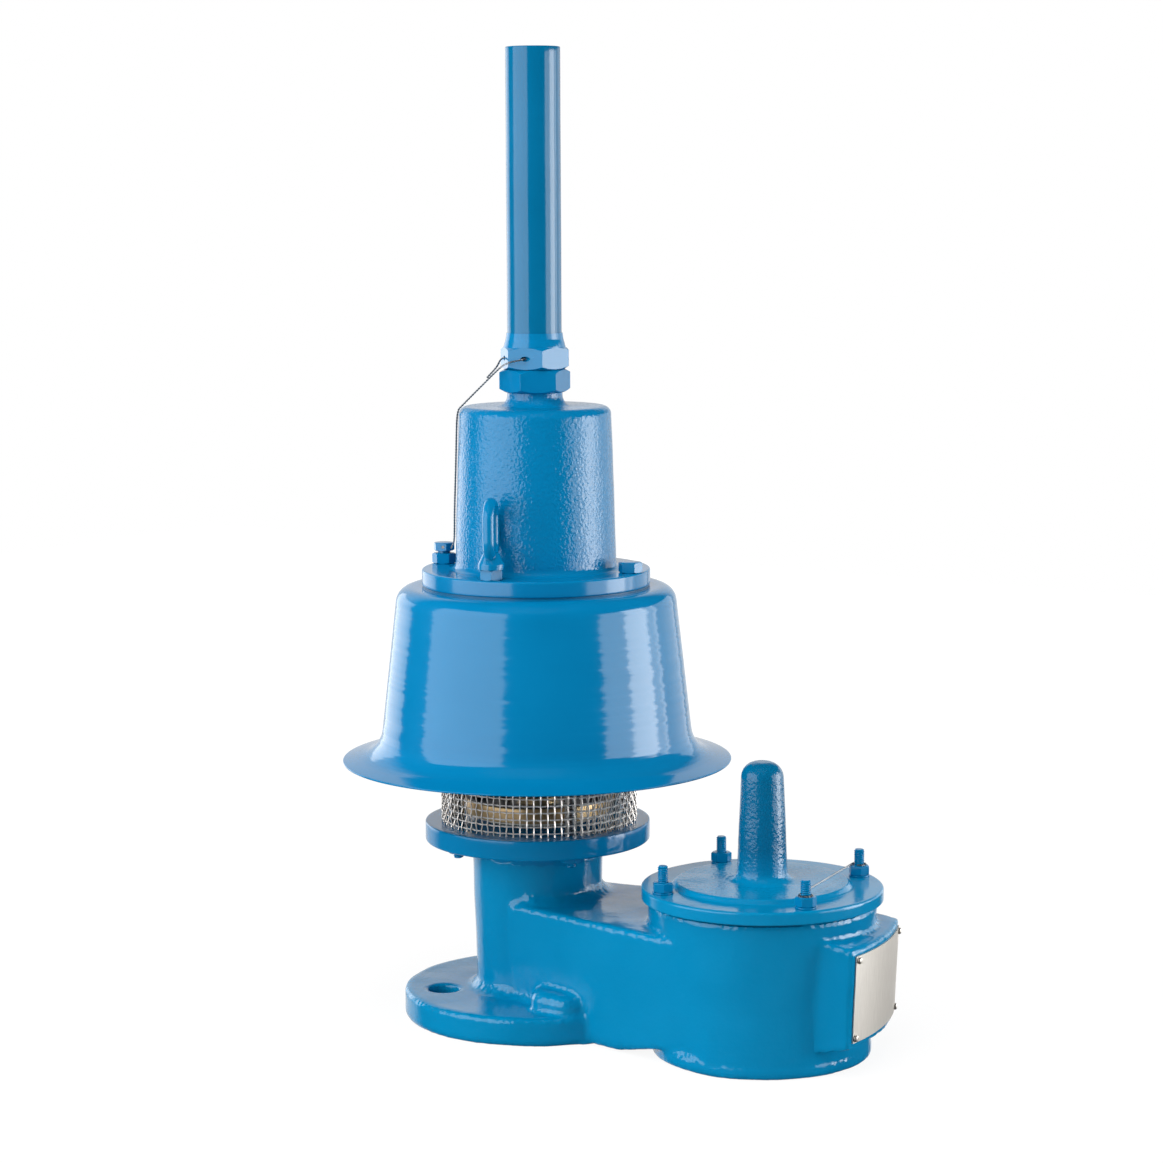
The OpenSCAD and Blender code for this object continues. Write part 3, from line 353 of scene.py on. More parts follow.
def enamel(name, blues, roughness, bumps, spun=False, cast_above=None, guide_shade_above=None, sags=None):
    """Blue enamel of two tones over metal. bumps lists (grain in mm, height in mm), which show only above
    the level cast_above, where one is given. Above the level given for the guide, over the fade length, the
    blue turns to the darker pipe blue as painted shade. sags is the (grain, height) in mm of the wrinkles
    that wet paint left on slopes."""
    paint = blank(bpy.data.materials, name)
    place = add(paint, "TexCoord").outputs["Object"]
    level = add(paint, "SeparateXYZ", {0: place}).outputs[2] if cast_above or guide_shade_above else None
    patch = add(paint, "TexNoise", {"Vector": place, "Scale": per_mm(PATCH_MM),
                                    "Detail": PATCH_DETAIL}).outputs[0]
    tone = add(paint, "Mix", {0: patch, 6: linear(blues[0]), 7: linear(blues[1])},
               data_type="RGBA").outputs[2]
    # Painted shade on the tall guide: above a level the blue turns to the darker pipe blue
    if guide_shade_above:
        guide_shade = add(paint, "MapRange", {"Value": level, "From Min": guide_shade_above * MM,
                                       "From Max": (guide_shade_above + GUIDE_SHADE_FADE_MM) * MM}).outputs[0]
        tone = add(paint, "Mix", {0: guide_shade, 6: tone, 7: linear(SHADED_PIPE_BLUE[0])}, data_type="RGBA").outputs[2]
    shine = add(paint, "MapRange", {"Value": patch, "From Min": PATCH_SPAN[0], "From Max": PATCH_SPAN[1],
                                    "To Min": roughness * SHINE_SPAN[0],
                                    "To Max": roughness * SHINE_SPAN[1]})
    normal = spun_normal(paint, place) if spun else None
    for grain, height in bumps:
        rough = add(paint, "TexNoise", {"Vector": place, "Scale": per_mm(grain),
                                        "Detail": BUMP_DETAIL}).outputs[0]
        sockets = {"Height": rough, "Distance": height * MM}
        if cast_above:
            grainy = add(paint, "MapRange", {"Value": level, "From Min": cast_above * MM,
                                             "From Max": (cast_above + CAST_FADE_MM) * MM})
            sockets["Strength"] = grainy.outputs[0]
        if normal:
            sockets["Normal"] = normal
        normal = add(paint, "Bump", sockets).outputs[0]
    if sags:
        wrinkles = add(paint, "TexNoise", {"Vector": place, "Scale": per_mm(sags[0]),
                                           "Detail": BUMP_DETAIL}).outputs[0]
        normal = add(paint, "Bump", {"Height": wrinkles, "Distance": sags[1] * MM,
                                     "Strength": sag_share(paint), "Normal": normal}).outputs[0]
    gloss = add(paint, "BsdfPrincipled", {"Base Color": tone, "Roughness": shine.outputs[0],
                                          "IOR": ENAMEL_IOR, "Normal": normal})
    add(paint, "OutputMaterial", {"Surface": gloss.outputs[0]})
    return paint


# The sand's own grain is under a millimetre. It is drawn at 1.9 mm, the finest that shows in the picture
SAND_MM = 1.9
cast_enamel = enamel("blue_enamel_on_cast_iron", SHADED_HOOD_BLUE, 0.13, [(SAND_MM, 0.42), (7.0, 0.1)],
                     cast_above=282)
cover_enamel = enamel("blue_enamel_on_cast_cover", LIT_BODY_BLUE, 0.13, [(SAND_MM, 0.26), (7.0, 0.1)],
                      cast_above=100, guide_shade_above=104)
soft_cast_enamel = enamel("blue_enamel_on_fettled_iron", LIT_BODY_BLUE, 0.12, [(SAND_MM, 0.07), (9.0, 0.12)],
                          sags=(5.0, 1.1))
spun_enamel = enamel("blue_enamel_on_spun_sheet", SHADED_HOOD_BLUE, 0.11, [(PEEL_MM, 0.006)], spun=True)
turned_enamel = enamel("blue_enamel_on_turned_steel", SHADED_HOOD_BLUE, 0.12, [(PEEL_MM, 0.015)])
pipe_enamel = enamel("blue_enamel_on_drawn_pipe", SHADED_PIPE_BLUE, 0.12, [(PEEL_MM, 0.02)])
gasket_enamel = enamel("blue_enamel_over_gasket_edge", SHADED_BLUE, 0.35, [(PEEL_MM, 0.03)])
print("enamels:", [m.name for m in bpy.data.materials if m.name.startswith("blue_enamel")])

# %% [markdown]
# ## Bare metals
# Behind the hood the parts are not painted. The screen, posts, seats and stems are stainless steel, drawn
# or turned, so the noise that roughens turned steel is stretched around the tool marks. The pressure pallet
# is cast bronze gone dull and tan. The nameplate is plain brushed sheet. A metal is a Principled shader
# whose two tones and roughness share one noise. Clean metal has Metallic at one. The wire and the bronze
# carry a dull film, so theirs is lower. Their sides that face the axis lie in the shade inside the screen,
# and a darker colour is painted on them as painted shade.

# %% Metals
INNER_SHADE_EDGE = (-0.1, 0.5)
DULL_SPAN = (1.3, 0.7)
MARKS_DETAIL = 3.0


def facing_out(made, place):
    """0 on a side that faces the valve's axis, 1 on one that faces away: n along (x, y), over a given span.
    It places the painted shade.
    """
    flat = add(made, "VectorMath", {0: place, 1: (1, 1, 0)}, operation="MULTIPLY").outputs[0]
    out = add(made, "VectorMath", {0: flat}, operation="NORMALIZE").outputs[0]
    normal = add(made, "NewGeometry").outputs["Normal"]
    along = add(made, "VectorMath", {0: normal, 1: out}, operation="DOT_PRODUCT").outputs["Value"]
    return add(made, "MapRange", {"Value": along, "From Min": INNER_SHADE_EDGE[0],
                                  "From Max": INNER_SHADE_EDGE[1]}).outputs[0]


def metal(name, pale, dark, roughness, grain_mm, stretch, height_mm, bare=1.0, inner_shade=None):
    """A metal: two tones and a roughness from one noise, stretched by three factors along X, Y and Z.
    bare is its share of clean metal: a dull film over the rest scatters light as a matt coat does.
    The last argument is a dark colour painted on the sides that face the valve's axis, as painted shade."""
    made = blank(bpy.data.materials, name)
    place = add(made, "TexCoord").outputs["Object"]
    laid = add(made, "Mapping", {"Vector": place, "Scale": stretch}).outputs[0]
    marks = add(made, "TexNoise", {"Vector": laid, "Scale": per_mm(grain_mm),
                                   "Detail": MARKS_DETAIL}).outputs[0]
    tone = add(made, "Mix", {0: marks, 6: linear(dark), 7: linear(pale)}, data_type="RGBA").outputs[2]
    # Painted shade: the sides that face the valve's axis take the dark colour
    if inner_shade:
        tone = add(made, "Mix", {0: facing_out(made, place), 6: linear(inner_shade), 7: tone},
                   data_type="RGBA").outputs[2]
    dull = add(made, "MapRange", {"Value": marks, "To Min": roughness * DULL_SPAN[0],
                                  "To Max": roughness * DULL_SPAN[1]})
    bump = add(made, "Bump", {"Height": marks, "Distance": height_mm * MM})
    shader = add(made, "BsdfPrincipled", {"Base Color": tone, "Roughness": dull.outputs[0],
                                          "Metallic": bare, "Normal": bump.outputs[0]})
    add(made, "OutputMaterial", {"Surface": shader.outputs[0]})
    return made


# Brush and tool marks are finer than 0.1 mm. They are drawn at 0.5 mm on plate and 0.8 mm on turned steel,
# the finest that still shows
# The dark colours given last are painted shade on the sides inside the screen
drawn_wire = metal("drawn_stainless_wire", "#FFFAF5", "#E9E3DC", 0.36, 3.0, (1, 1, 1), 0.01, bare=0.5,
                   inner_shade="#3A302A")
turned_steel = metal("turned_stainless_steel", "#CFCDC8", "#A9A7A4", 0.28, 0.8, (0.2, 0.2, 1), 0.01)
dull_bronze = metal("cast_bronze", "#E3C79A", "#C7A878", 0.32, 4.0, (1, 1, 1), 0.05, bare=0.8,
                    inner_shade="#33281E")
spring_steel = metal("oiled_spring_steel", "#8E9094", "#63666B", 0.34, 1.5, (1, 1, 1), 0.01)
seal_steel = metal("galvanised_seal_wire", "#C3C7CB", "#7D8388", 0.36, 1.2, (1, 1, 1), 0.01)
plate_metal = metal("brushed_plate_metal", "#E6E2DC", "#CFCBC4", 0.50, 0.5, (1, 1, 0.03), 0.006)
metals = (drawn_wire, turned_steel, dull_bronze, spring_steel, seal_steel, plate_metal)
print("metals:", [m.name for m in metals])

# %% [markdown]
# ## Seal film
# The pallets close on thin discs of a milky plastic film. It has no grain to speak of, only a faint
# cloudiness and a satin gloss, so two pale tones and one soft bump are all it needs.

# %% Seal film
FILM_BUMP = 0.02 * MM
FILM_DETAIL = 2.0


def matt(name, pale, dark, roughness, grain_mm):
    """A plain material with two tones and a bump from one noise."""
    made = blank(bpy.data.materials, name)
    place = add(made, "TexCoord").outputs["Object"]
    grain = add(made, "TexNoise", {"Vector": place, "Scale": per_mm(grain_mm),
                                   "Detail": FILM_DETAIL}).outputs[0]
    tone = add(made, "Mix", {0: grain, 6: linear(dark), 7: linear(pale)}, data_type="RGBA")
    bump = add(made, "Bump", {"Height": grain, "Distance": FILM_BUMP})
    shader = add(made, "BsdfPrincipled", {"Base Color": tone.outputs[2], "Roughness": roughness,
                                          "Normal": bump.outputs[0]})
    add(made, "OutputMaterial", {"Surface": shader.outputs[0]})
    return made


seal_film = matt("fluoropolymer_seal_film", "#EFEDE6", "#DDD9CE", 0.35, 2.0)
print("film:", seal_film.name)

# %% [markdown]
# ## Surfaces from arrays
# Every new piece is one idea: a grid of points, computed in one go with numpy, whose rows and columns
# become quads. A turned piece carries its outline round an axis, a wire carries a small circle along its
# path. The grid may hold several copies of a shape at once, and wraps where the shape closes on itself, so
# that no seam stays open.

# %% From a grid of points to a piece
SHARP = math.radians(32)


def piece(name, points, faces, material, body="valve_body", slot=None, replaced=()):
    """A mesh of points in metres, smooth except over sharp edges. It rides on body, unless that is None."""
    mesh = bpy.data.meshes.new(name)
    mesh.from_pydata(points, [], faces)
    mesh.update()
    mesh.shade_smooth()
    mesh.set_sharp_from_angle(angle=SHARP)
    mesh.materials.append(material)
    made = bpy.data.objects.new(name, mesh)
    bpy.context.scene.collection.objects.link(made)
    if body:
        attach(made, body)
    if replaced:
        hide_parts(*replaced)
    return made


def grid_faces(shape, wrap_rows, caps):
    """Quads between neighbours of a grid (copies, rows, columns) whose columns close round. Rows close too
    where wrap_rows says so, and n-gon caps close the open ends where caps does."""
    index = np.arange(np.prod(shape)).reshape(shape)
    if wrap_rows:
        index = np.concatenate([index, index[:, :1]], axis=1)
    index = np.concatenate([index, index[:, :, :1]], axis=2)
    quads = np.stack([index[:, :-1, :-1], index[:, :-1, 1:], index[:, 1:, 1:], index[:, 1:, :-1]], axis=-1)
    faces = quads.reshape(-1, 4).tolist()
    if caps:
        ends = np.arange(np.prod(shape)).reshape(shape)
        faces += ends[:, 0, ::-1].tolist() + ends[:, -1, :].tolist()
    return faces


def skin(name, grid, material, wrap_rows=False, caps=False, **rest):
    """A piece from a grid (copies, rows, columns, 3) whose columns always close round."""
    faces = grid_faces(grid.shape[:3], wrap_rows, caps)
    return piece(name, grid.reshape(-1, 3).tolist(), faces, material, **rest)


print("grid helpers ready")

# %% [markdown]
# ## Turned outlines
# A drawing gives a turned piece as corners with radii. The outline function replaces each corner by an arc
# that touches both of its sides, and then walks along the result in equal steps, so that the surface has
# enough points for the lumps of a casting.

# %% Outline
def arc_corner(before, here, after, radius, steps=7):
    """Points of the arc that touches both sides of a corner; its middle lies on the corner's bisector."""
    u = (before - here) / np.linalg.norm(before - here)
    v = (after - here) / np.linalg.norm(after - here)
    half = math.acos(np.clip(u @ v, -1, 1)) / 2
    middle = here + (u + v) / np.linalg.norm(u + v) * radius / math.sin(half)
    start = here + u * radius / math.tan(half) - middle
    stop = here + v * radius / math.tan(half) - middle
    first = math.atan2(start[1], start[0])
    sweep = (math.atan2(stop[1], stop[0]) - first + math.pi) % (2 * math.pi) - math.pi
    angle = first + sweep * np.linspace(0, 1, steps)
    return middle + radius * np.column_stack([np.cos(angle), np.sin(angle)])


def outline(corners, step, closed=True):
    """Corners (r, z, radius) in mm as points along the rounded line, about step apart, in metres."""
    flat = np.array([c[:2] for c in corners], float)
    n = len(flat)
    spans = []
    for i, (_, _, radius) in enumerate(corners):
        inside = closed or 0 < i < n - 1
        arc = radius and inside
        spans.append(arc_corner(flat[i - 1], flat[i], flat[(i + 1) % n], radius) if arc else flat[i:i + 1])
    line = np.concatenate(spans + ([spans[0][:1]] if closed else []))
    length = np.linalg.norm(np.diff(line, axis=0), axis=1)
    parts = [np.linspace(a, b, max(1, round(long / step)), endpoint=False)
             for a, b, long in zip(line[:-1], line[1:], length) if long > 1e-6]
    return np.concatenate(parts + ([] if closed else [line[-1:]])) * MM


RING = [(10, 0, 1), (20, 0, 1), (20, 5, 1), (10, 5, 1)]
print("outline of a test ring:", outline(RING, step=1).shape)

# %% [markdown]
# ## Lumps and turning
# A casting is never quite even. A texture could push its surface about, but plane waves in seeded
# directions need no image and no second mesh: all are of about one wavelength, so that the size of the
# lumps is a number in millimetres. Turning then carries an outline round an axis, and moves each point
# along its own normal by the lumps.

# %% Lumps and turning
WAVE_SPREAD = (0.7, 1.4)
LUMP_FADE_MM = 2


def lumps(points, size_mm, seed, waves=40):
    """A random height from about -1 to 1: the sum of plane waves of about one length, with seeded headings
    and phases, over the root of their number."""
    draw = np.random.default_rng(seed)
    heading = draw.normal(size=(waves, 3))
    heading /= np.linalg.norm(heading, axis=1, keepdims=True)
    heading *= 2 * math.pi / (size_mm * MM) * draw.uniform(*WAVE_SPREAD, (waves, 1))
    return np.sin(points @ heading.T + draw.uniform(0, 2 * math.pi, waves)).sum(-1) / math.sqrt(waves)


def turned(line, axis_x, around, rough=()):
    """Carries an outline (r, z) round an upright axis at x = axis_x. rough lists (lump mm, height mm, seed,
    low, high): between the levels low and high in mm the surface moves along its own normal by height times
    the lumps, which fade out over LUMP_FADE_MM at both levels."""
    angle = 2 * math.pi * np.arange(around) / around
    slope = np.roll(line, -1, axis=0) - np.roll(line, 1, axis=0)
    slope /= np.linalg.norm(slope, axis=1, keepdims=True) + 1e-12
    turn = np.stack([np.cos(angle), np.sin(angle)], axis=-1)
    shape = (len(line), around, 1)
    grid = np.concatenate([line[:, None, :1] * turn, np.broadcast_to(line[:, None, 1:], shape)], axis=-1)
    normal = np.concatenate([slope[:, None, 1:] * turn, np.broadcast_to(-slope[:, None, :1], shape)],
                            axis=-1)
    for size, height, seed, low, high in rough:
        depth = np.minimum(line[:, 1] / MM - low, high - line[:, 1] / MM)
        level = np.clip(depth / LUMP_FADE_MM, 0, 1)
        grid = grid + normal * (lumps(grid, size, seed) * level[:, None] * height * MM)[..., None]
    return (grid + np.array([axis_x, 0, 0]))[None]


print("turned test ring:", turned(outline(RING, step=1), axis_x=0, around=8).shape)

# %% [markdown]
# ## Hood
# The weather hood is a disc of sheet spun over a wooden chuck: flat crown, slightly flared wall and a wide
# brim. A surface of revolution is exactly what the lathe made, so the outline is drawn once, outer side and
# inner side, with a bead of paint on the rim.

# %% Spun hood
def hood_corners():
    """The hood's outline in mm: up the outside from the rim, over the crown, and back 2 mm further in."""
    outside = [(120.9, 162.2, 0.4), (97.5, 167.7, 18), (85.8, 270.2, 10), (14.0, 270.2, 0)]
    inside = [(14.0, 268.2, 0), (83.98, 268.2, 8), (95.7, 166.1, 20), (120.5, 161.1, 0.4)]
    return [inside[3]] + outside + inside[:3]


hood_grid = turned(outline(hood_corners(), step=1.4), axis_x=0, around=288)
hood = skin("hood_spun", hood_grid, spun_enamel, wrap_rows=True, slot="blue_enamel", replaced=["hood"])
print("hood:", len(hood.data.polygons), "faces")

# %% [markdown]
# ## Bonnet
# The bonnet is a sand casting that houses the spring. Its wall keeps the grain of the sand under the paint,
# its flange and neck were turned. Displacing the whole grid by lumps gives the slow unevenness of the
# casting, and the finest grain stays in the bump of the enamel.

# %% Cast bonnet
BONNET = [(39.3, 271.2, 0), (70.6, 271.2, 0.8), (70.6, 281.0, 1.2), (49.8, 281.0, 4.5), (46.8, 381.2, 5.5),
          (17.0, 381.2, 6.5), (17.0, 389.8, 0.6), (13.0, 389.8, 0), (13.0, 373.2, 0), (39.3, 373.2, 3)]
BONNET_LUMPS = [(30, 0.08, 11, 285, 378), (4.5, 0.02, 12, 284, 379)]
bonnet_grid = turned(outline(BONNET, step=1.2), axis_x=0, around=240, rough=BONNET_LUMPS)
bonnet = skin("bonnet_cast", bonnet_grid, cast_enamel, wrap_rows=True, slot="blue_enamel",
              replaced=["bonnet"])
print("bonnet:", len(bonnet.data.polygons), "faces")

# %% [markdown]
# ## Drum cover
# The cover of the drum is cast with a tall guide for the pallet's stem. Its rim was turned and its raised
# face left as cast. The outline runs from the blind end of the bore down, outwards, and up to the crown of
# the guide, so its two ends meet the axis and are closed by small caps.

# %% Cast cover
DRUM_X = 163 * MM
COVER = [(0.1, 170, 0), (6.5, 170, 0), (6.5, 106.7, 0), (8.05, 106.7, 0), (8.05, 90.7, 0), (53.7, 90.7, 0),
         (53.7, 93.7, 0), (72.2, 93.7, 0.8), (72.2, 101.4, 1.4), (53.5, 101.4, 2), (51.5, 104.4, 1.5),
         (15.2, 104.4, 6.5), (12.4, 176, 9.5), (0.1, 176, 0)]
COVER_LUMPS = [(30, 0.10, 21, 100.5, 190), (4.5, 0.02, 22, 101, 190)]
cover_grid = turned(outline(COVER, step=1.1, closed=False), axis_x=DRUM_X, around=224, rough=COVER_LUMPS)
cover = skin("drum_cover_cast", cover_grid, cover_enamel, caps=True, slot="blue_enamel",
             replaced=["drum_cover"])
print("cover:", len(cover.data.polygons), "faces")

# %% [markdown]
# ## Valve body
# The body is one sand casting: tank flange, column, bridge and drum. Its edges are soft where the sand
# rounded them and where paint has filled the corners, which CAD fillets can't all follow. A copy of the CAD
# solid, cut below the turned seat flange, is wrapped in a fresh skin of small quads by a voxel remesh.
# Averaging each point with its neighbours softens the edges, and every second step pushes back a little
# more, so that the casting doesn't shrink.

# %% A fresh skin for the casting
SKIN_MM = 1.6
CUT_Z = 104 * MM
CUT_MERGE = 0.01 * MM
SOFTEN_ROUNDS = 9
SOFTEN_STEPS = (0.5, -0.53)


def skin_below(nodes, level, size):
    """Points and quads of one voxel skin over the parts of some nodes that lie below a level."""
    solid = bmesh.new()
    for node in nodes:
        solid.from_mesh(frame["nodes"][node].data)
    bmesh.ops.remove_doubles(solid, verts=solid.verts, dist=CUT_MERGE)
    everything = solid.verts[:] + solid.edges[:] + solid.faces[:]
    cut = bmesh.ops.bisect_plane(solid, geom=everything, plane_co=(0, 0, level), plane_no=(0, 0, 1),
                                 clear_outer=True)
    rim = [e for e in cut["geom_cut"] if isinstance(e, bmesh.types.BMEdge)]
    bmesh.ops.triangle_fill(solid, edges=rim, use_beauty=True, normal=(0, 0, 1))
    mesh = bpy.data.meshes.new("cut_casting")
    solid.to_mesh(mesh)
    solid.free()
    block = bpy.data.objects.new("cut_casting", mesh)
    bpy.context.scene.collection.objects.link(block)
    wrap = block.modifiers.new("wrap", "REMESH")
    wrap.mode = "VOXEL"
    wrap.voxel_size = size
    wrapped = block.evaluated_get(bpy.context.evaluated_depsgraph_get()).to_mesh()
    points = np.empty(len(wrapped.vertices) * 3, np.float32)
    wrapped.vertices.foreach_get("co", points)
    faces = np.empty(len(wrapped.loops), np.int32)
    wrapped.loops.foreach_get("vertex_index", faces)
    bpy.data.objects.remove(block)
    return points.reshape(-1, 3).astype(float), faces.reshape(-1, 4)


def softened(points, faces, rounds):
    """Each round moves a point by both SOFTEN_STEPS of the way to the mean of its neighbours."""
    ends = np.concatenate([faces[:, [0, 1]], faces[:, [1, 2]], faces[:, [2, 3]], faces[:, [3, 0]]])
    start = np.concatenate([ends[:, 0], ends[:, 1]])
    stop = np.concatenate([ends[:, 1], ends[:, 0]])
    count = np.bincount(start, minlength=len(points))[:, None]
    for step in SOFTEN_STEPS * rounds:
        total = np.stack([np.bincount(start, points[stop, k], len(points)) for k in range(3)], axis=1)
        points = points + step * (total / count - points)
    return points


points, faces = skin_below(["body_casting", "cover_studs"], CUT_Z, SKIN_MM * MM)
points = softened(points, faces, SOFTEN_ROUNDS)
print("skin of the casting:", len(faces), "quads")

# %% [markdown]
# ## Web and foot of the casting
# Two places of the real casting are fuller than its solid. Beside the tank flange the bridge comes down
# almost to the flange's face, as a web, and under the drum filler carries the wall out to the ring of the
# air inlet. Both could be modelled by hand, but they are smooth moves of points that are already there, so
# each is one formula over the whole array. Slow lumps along the normals then give the unevenness of a
# casting.

# %% The casting's web, foot and lumps
FOOT_R, WALL_R = 65.2 * MM, 61.5 * MM
FOOT_LOW, FOOT_TOP = 5 * MM, 45 * MM
OPEN_EDGE = (0.17, 0.2)
BRIDGE_FOOT, WEB_LOW = 8.5 * MM, 0.8 * MM
BRIDGE_HALF = (38.3 * MM, 64 * MM)
WEB_START = (69 * MM, 70 * MM)
WEB_REACH = (104 * MM, 140 * MM)
WEB_SIDE, WEB_SIDE_FADE = 4 * MM, 3 * MM
DRUM_CLEAR, DRUM_FADE = 60 * MM, 5 * MM
CASTING_LUMPS = [(32, 0.13, 31), (7, 0.015, 32)]


def face_normals(points, faces):
    """A normal for each point: the sum of the cross products of the diagonals of the quads around it."""
    across = np.cross(points[faces[:, 2]] - points[faces[:, 0]], points[faces[:, 3]] - points[faces[:, 1]])
    total = np.stack([np.bincount(faces.ravel(), np.repeat(across[:, k], 4), len(points))
                      for k in range(3)], axis=1)
    return total / np.maximum(np.linalg.norm(total, axis=1, keepdims=True), 1e-12)


def drum_foot_paint(points):
    """How far filler pushes the drum's foot out from its axis: FOOT_R - r, away from the bridge."""
    out = (points - np.array([DRUM_X, 0, 0])) * (1, 1, 0)
    r = np.linalg.norm(out, axis=1)
    foot = (r > WALL_R) * (points[:, 2] < FOOT_TOP) * (points[:, 2] > FOOT_LOW)
    short = np.clip(FOOT_R - r, 0, None) * foot
    open_side = np.clip((out[:, 0] / np.maximum(r, MM) + OPEN_EDGE[0]) / OPEN_EDGE[1], 0, 1)
    return out / np.maximum(r, MM)[:, None] * (short * open_side)[:, None]


def bridge_web(points):
    """Heights of the points once the bridge's underside comes down beside the tank flange, as the web of a
    casting does: up to BRIDGE_FOOT they shrink to WEB_LOW, and as much again stretches to make up."""
    x, y, z = points.T
    far = np.hypot(x, y)
    half_width = BRIDGE_HALF[0] + (BRIDGE_HALF[1] - BRIDGE_HALF[0]) * x / DRUM_X
    share = np.interp(far, (*WEB_START, *WEB_REACH), (0, 1, 1, 0)) * (x > 0)
    share = share * np.clip((half_width + WEB_SIDE - np.abs(y)) / WEB_SIDE_FADE, 0, 1)
    share = share * np.clip((np.hypot(x - DRUM_X, y) - DRUM_CLEAR) / DRUM_FADE, 0, 1)
    low = np.interp(z, (-1, 0, BRIDGE_FOOT, 2 * BRIDGE_FOOT, 1), (-1, 0, WEB_LOW, 2 * BRIDGE_FOOT, 1))
    return z + share * (low - z)


points[:, 2] = bridge_web(points)
points = points + drum_foot_paint(points)
height = sum(tall * lumps(points, size, seed) for size, tall, seed in CASTING_LUMPS)
points = points + face_normals(points, faces) * (height * MM)[:, None]
casting = piece("body_casting_soft", points.tolist(), faces.tolist(), soft_cast_enamel, slot="blue_enamel",
                replaced=["body_casting"])
print("casting:", len(casting.data.polygons), "quads")

# %% [markdown]
# ## Seat flange
# The flange on top of the column was turned, so its edges are crisp. It is a ring of its own here: it
# starts inside the column, flares out through a fillet and carries the counterbore of the pressure seat.

# %% Turned seat flange
SEAT_FLANGE = [(26.25, 98, 0), (40.2, 98, 0), (40.75, 103.5, 0), (41.0, 111, 7.5), (70, 111, 1.5),
               (70, 123.3, 0.8), (32.3, 123.3, 0), (32.3, 116.3, 0), (26.25, 116.3, 0)]
seat_grid = turned(outline(SEAT_FLANGE, step=3), axis_x=0, around=192)
seat_flange = skin("seat_flange_turned", seat_grid, turned_enamel, wrap_rows=True, slot="blue_enamel")
print("seat flange:", len(seat_flange.data.polygons), "faces")

# %% [markdown]
# ## Woven screen
# The vent screen is plain weave, six wires to the inch: each wire goes over one crossing wire and under the
# next. The radius of an upright swings as a cosine of its height, the radius of a hoop swings the opposite
# way with the angle, so at each crossing one lies outside and the other inside by just a wire's radius. The
# cloth of wire is rolled into a tube and laps over itself on one side, where a second layer lies on the
# first.

# %% Weaving
WIRE_R = 0.45 * MM
WEAVE_R = 59.2 * MM
SCREEN_FOOT, SCREEN_TOP = 123.4 * MM, 260.1 * MM
UPRIGHTS, HOOPS = 88, 32
PER_CROSSING = 4
WIRE_SIDES = 5


def tube(centres, across, up, radius, sides):
    """A circle of a radius carried along centre points: centre + radius (cos b across + sin b up)."""
    b = 2 * math.pi * np.arange(sides) / sides
    section = np.cos(b)[:, None] * across[..., None, :] + np.sin(b)[:, None] * up[..., None, :]
    return centres[..., None, :] + radius * section


def woven_uprights(angles, odd, radius):
    """Uprights at some angles: radius + wire radius cos(pi crossing number), odd ones shifted by pi."""
    crossing = np.linspace(0, HOOPS, HOOPS * PER_CROSSING + 1)
    z = SCREEN_FOOT + (SCREEN_TOP - SCREEN_FOOT) * crossing / HOOPS
    r = radius + WIRE_R * np.cos(math.pi * (crossing[None] - 0.5 + odd[:, None]))
    out = np.stack([np.cos(angles), np.sin(angles), np.zeros_like(angles)], axis=-1)[:, None]
    centres = r[..., None] * out + np.stack([0 * z, 0 * z, z], axis=-1)
    side = np.stack([-out[..., 1], out[..., 0], out[..., 2]], axis=-1)
    out, side = np.broadcast_to(out, centres.shape), np.broadcast_to(side, centres.shape)
    return tube(centres, out, side, WIRE_R, WIRE_SIDES)


def woven_hoops(first, last, crossings, radius):
    """Hoops from angle first to last: radius minus the uprights' swing, so they pass on the other side."""
    closed = math.isclose(last - first, 2 * math.pi)
    t = np.linspace(0, crossings, crossings * PER_CROSSING + (0 if closed else 1), endpoint=not closed)
    angle = first + (last - first) * t / crossings
    row = np.arange(HOOPS)
    z = SCREEN_FOOT + (SCREEN_TOP - SCREEN_FOOT) * (row + 0.5) / HOOPS
    r = radius - WIRE_R * np.cos(math.pi * (t[None] + row[:, None]))
    out = np.stack([np.cos(angle), np.sin(angle), 0 * angle], axis=-1)[None]
    centres = r[..., None] * out + np.array([0, 0, 1]) * z[:, None, None]
    down = np.broadcast_to(np.array([0, 0, -1.0]), centres.shape)
    return tube(centres, np.broadcast_to(out, centres.shape), down, WIRE_R, WIRE_SIDES)


steps = np.arange(UPRIGHTS)
uprights = woven_uprights(2 * math.pi * steps / UPRIGHTS, steps % 2, WEAVE_R)
hoops = woven_hoops(0, 2 * math.pi, UPRIGHTS, WEAVE_R)
skin("screen_uprights_woven", uprights, drawn_wire, caps=True, slot="screen_wire",
     replaced=["screen_uprights"])
skin("screen_hoops_woven", hoops, drawn_wire, wrap_rows=True, slot="screen_wire", replaced=["screen_hoops"])
print("screen:", UPRIGHTS, "uprights,", HOOPS, "hoops")

# %% [markdown]
# ## Lap of the screen
# The strip of wire cloth is longer than the screen is round, and its end lies over its start on the right.
# The same two functions weave this second layer, over a part of the circle and a little more than two wires
# further out.

# %% The lap of the screen
LAP = np.radians([-31, 44])
LAP_GAP = 2.1 * MM
LAP_R = WEAVE_R + LAP_GAP
LAP_COUNT = 18

lap_angles = LAP[0] + (LAP[1] - LAP[0]) * (np.arange(LAP_COUNT) + 0.5) / LAP_COUNT
lap_uprights = woven_uprights(lap_angles, np.arange(LAP_COUNT) % 2, LAP_R)
lap_hoops = woven_hoops(LAP[0], LAP[1], LAP_COUNT, LAP_R)
skin("screen_lap_uprights", lap_uprights, drawn_wire, caps=True, slot="screen_wire")
skin("screen_lap_hoops", lap_hoops, drawn_wire, caps=True, slot="screen_wire")
print("lap:", LAP_COUNT, "wires over", round(math.degrees(LAP[1] - LAP[0])), "degrees")

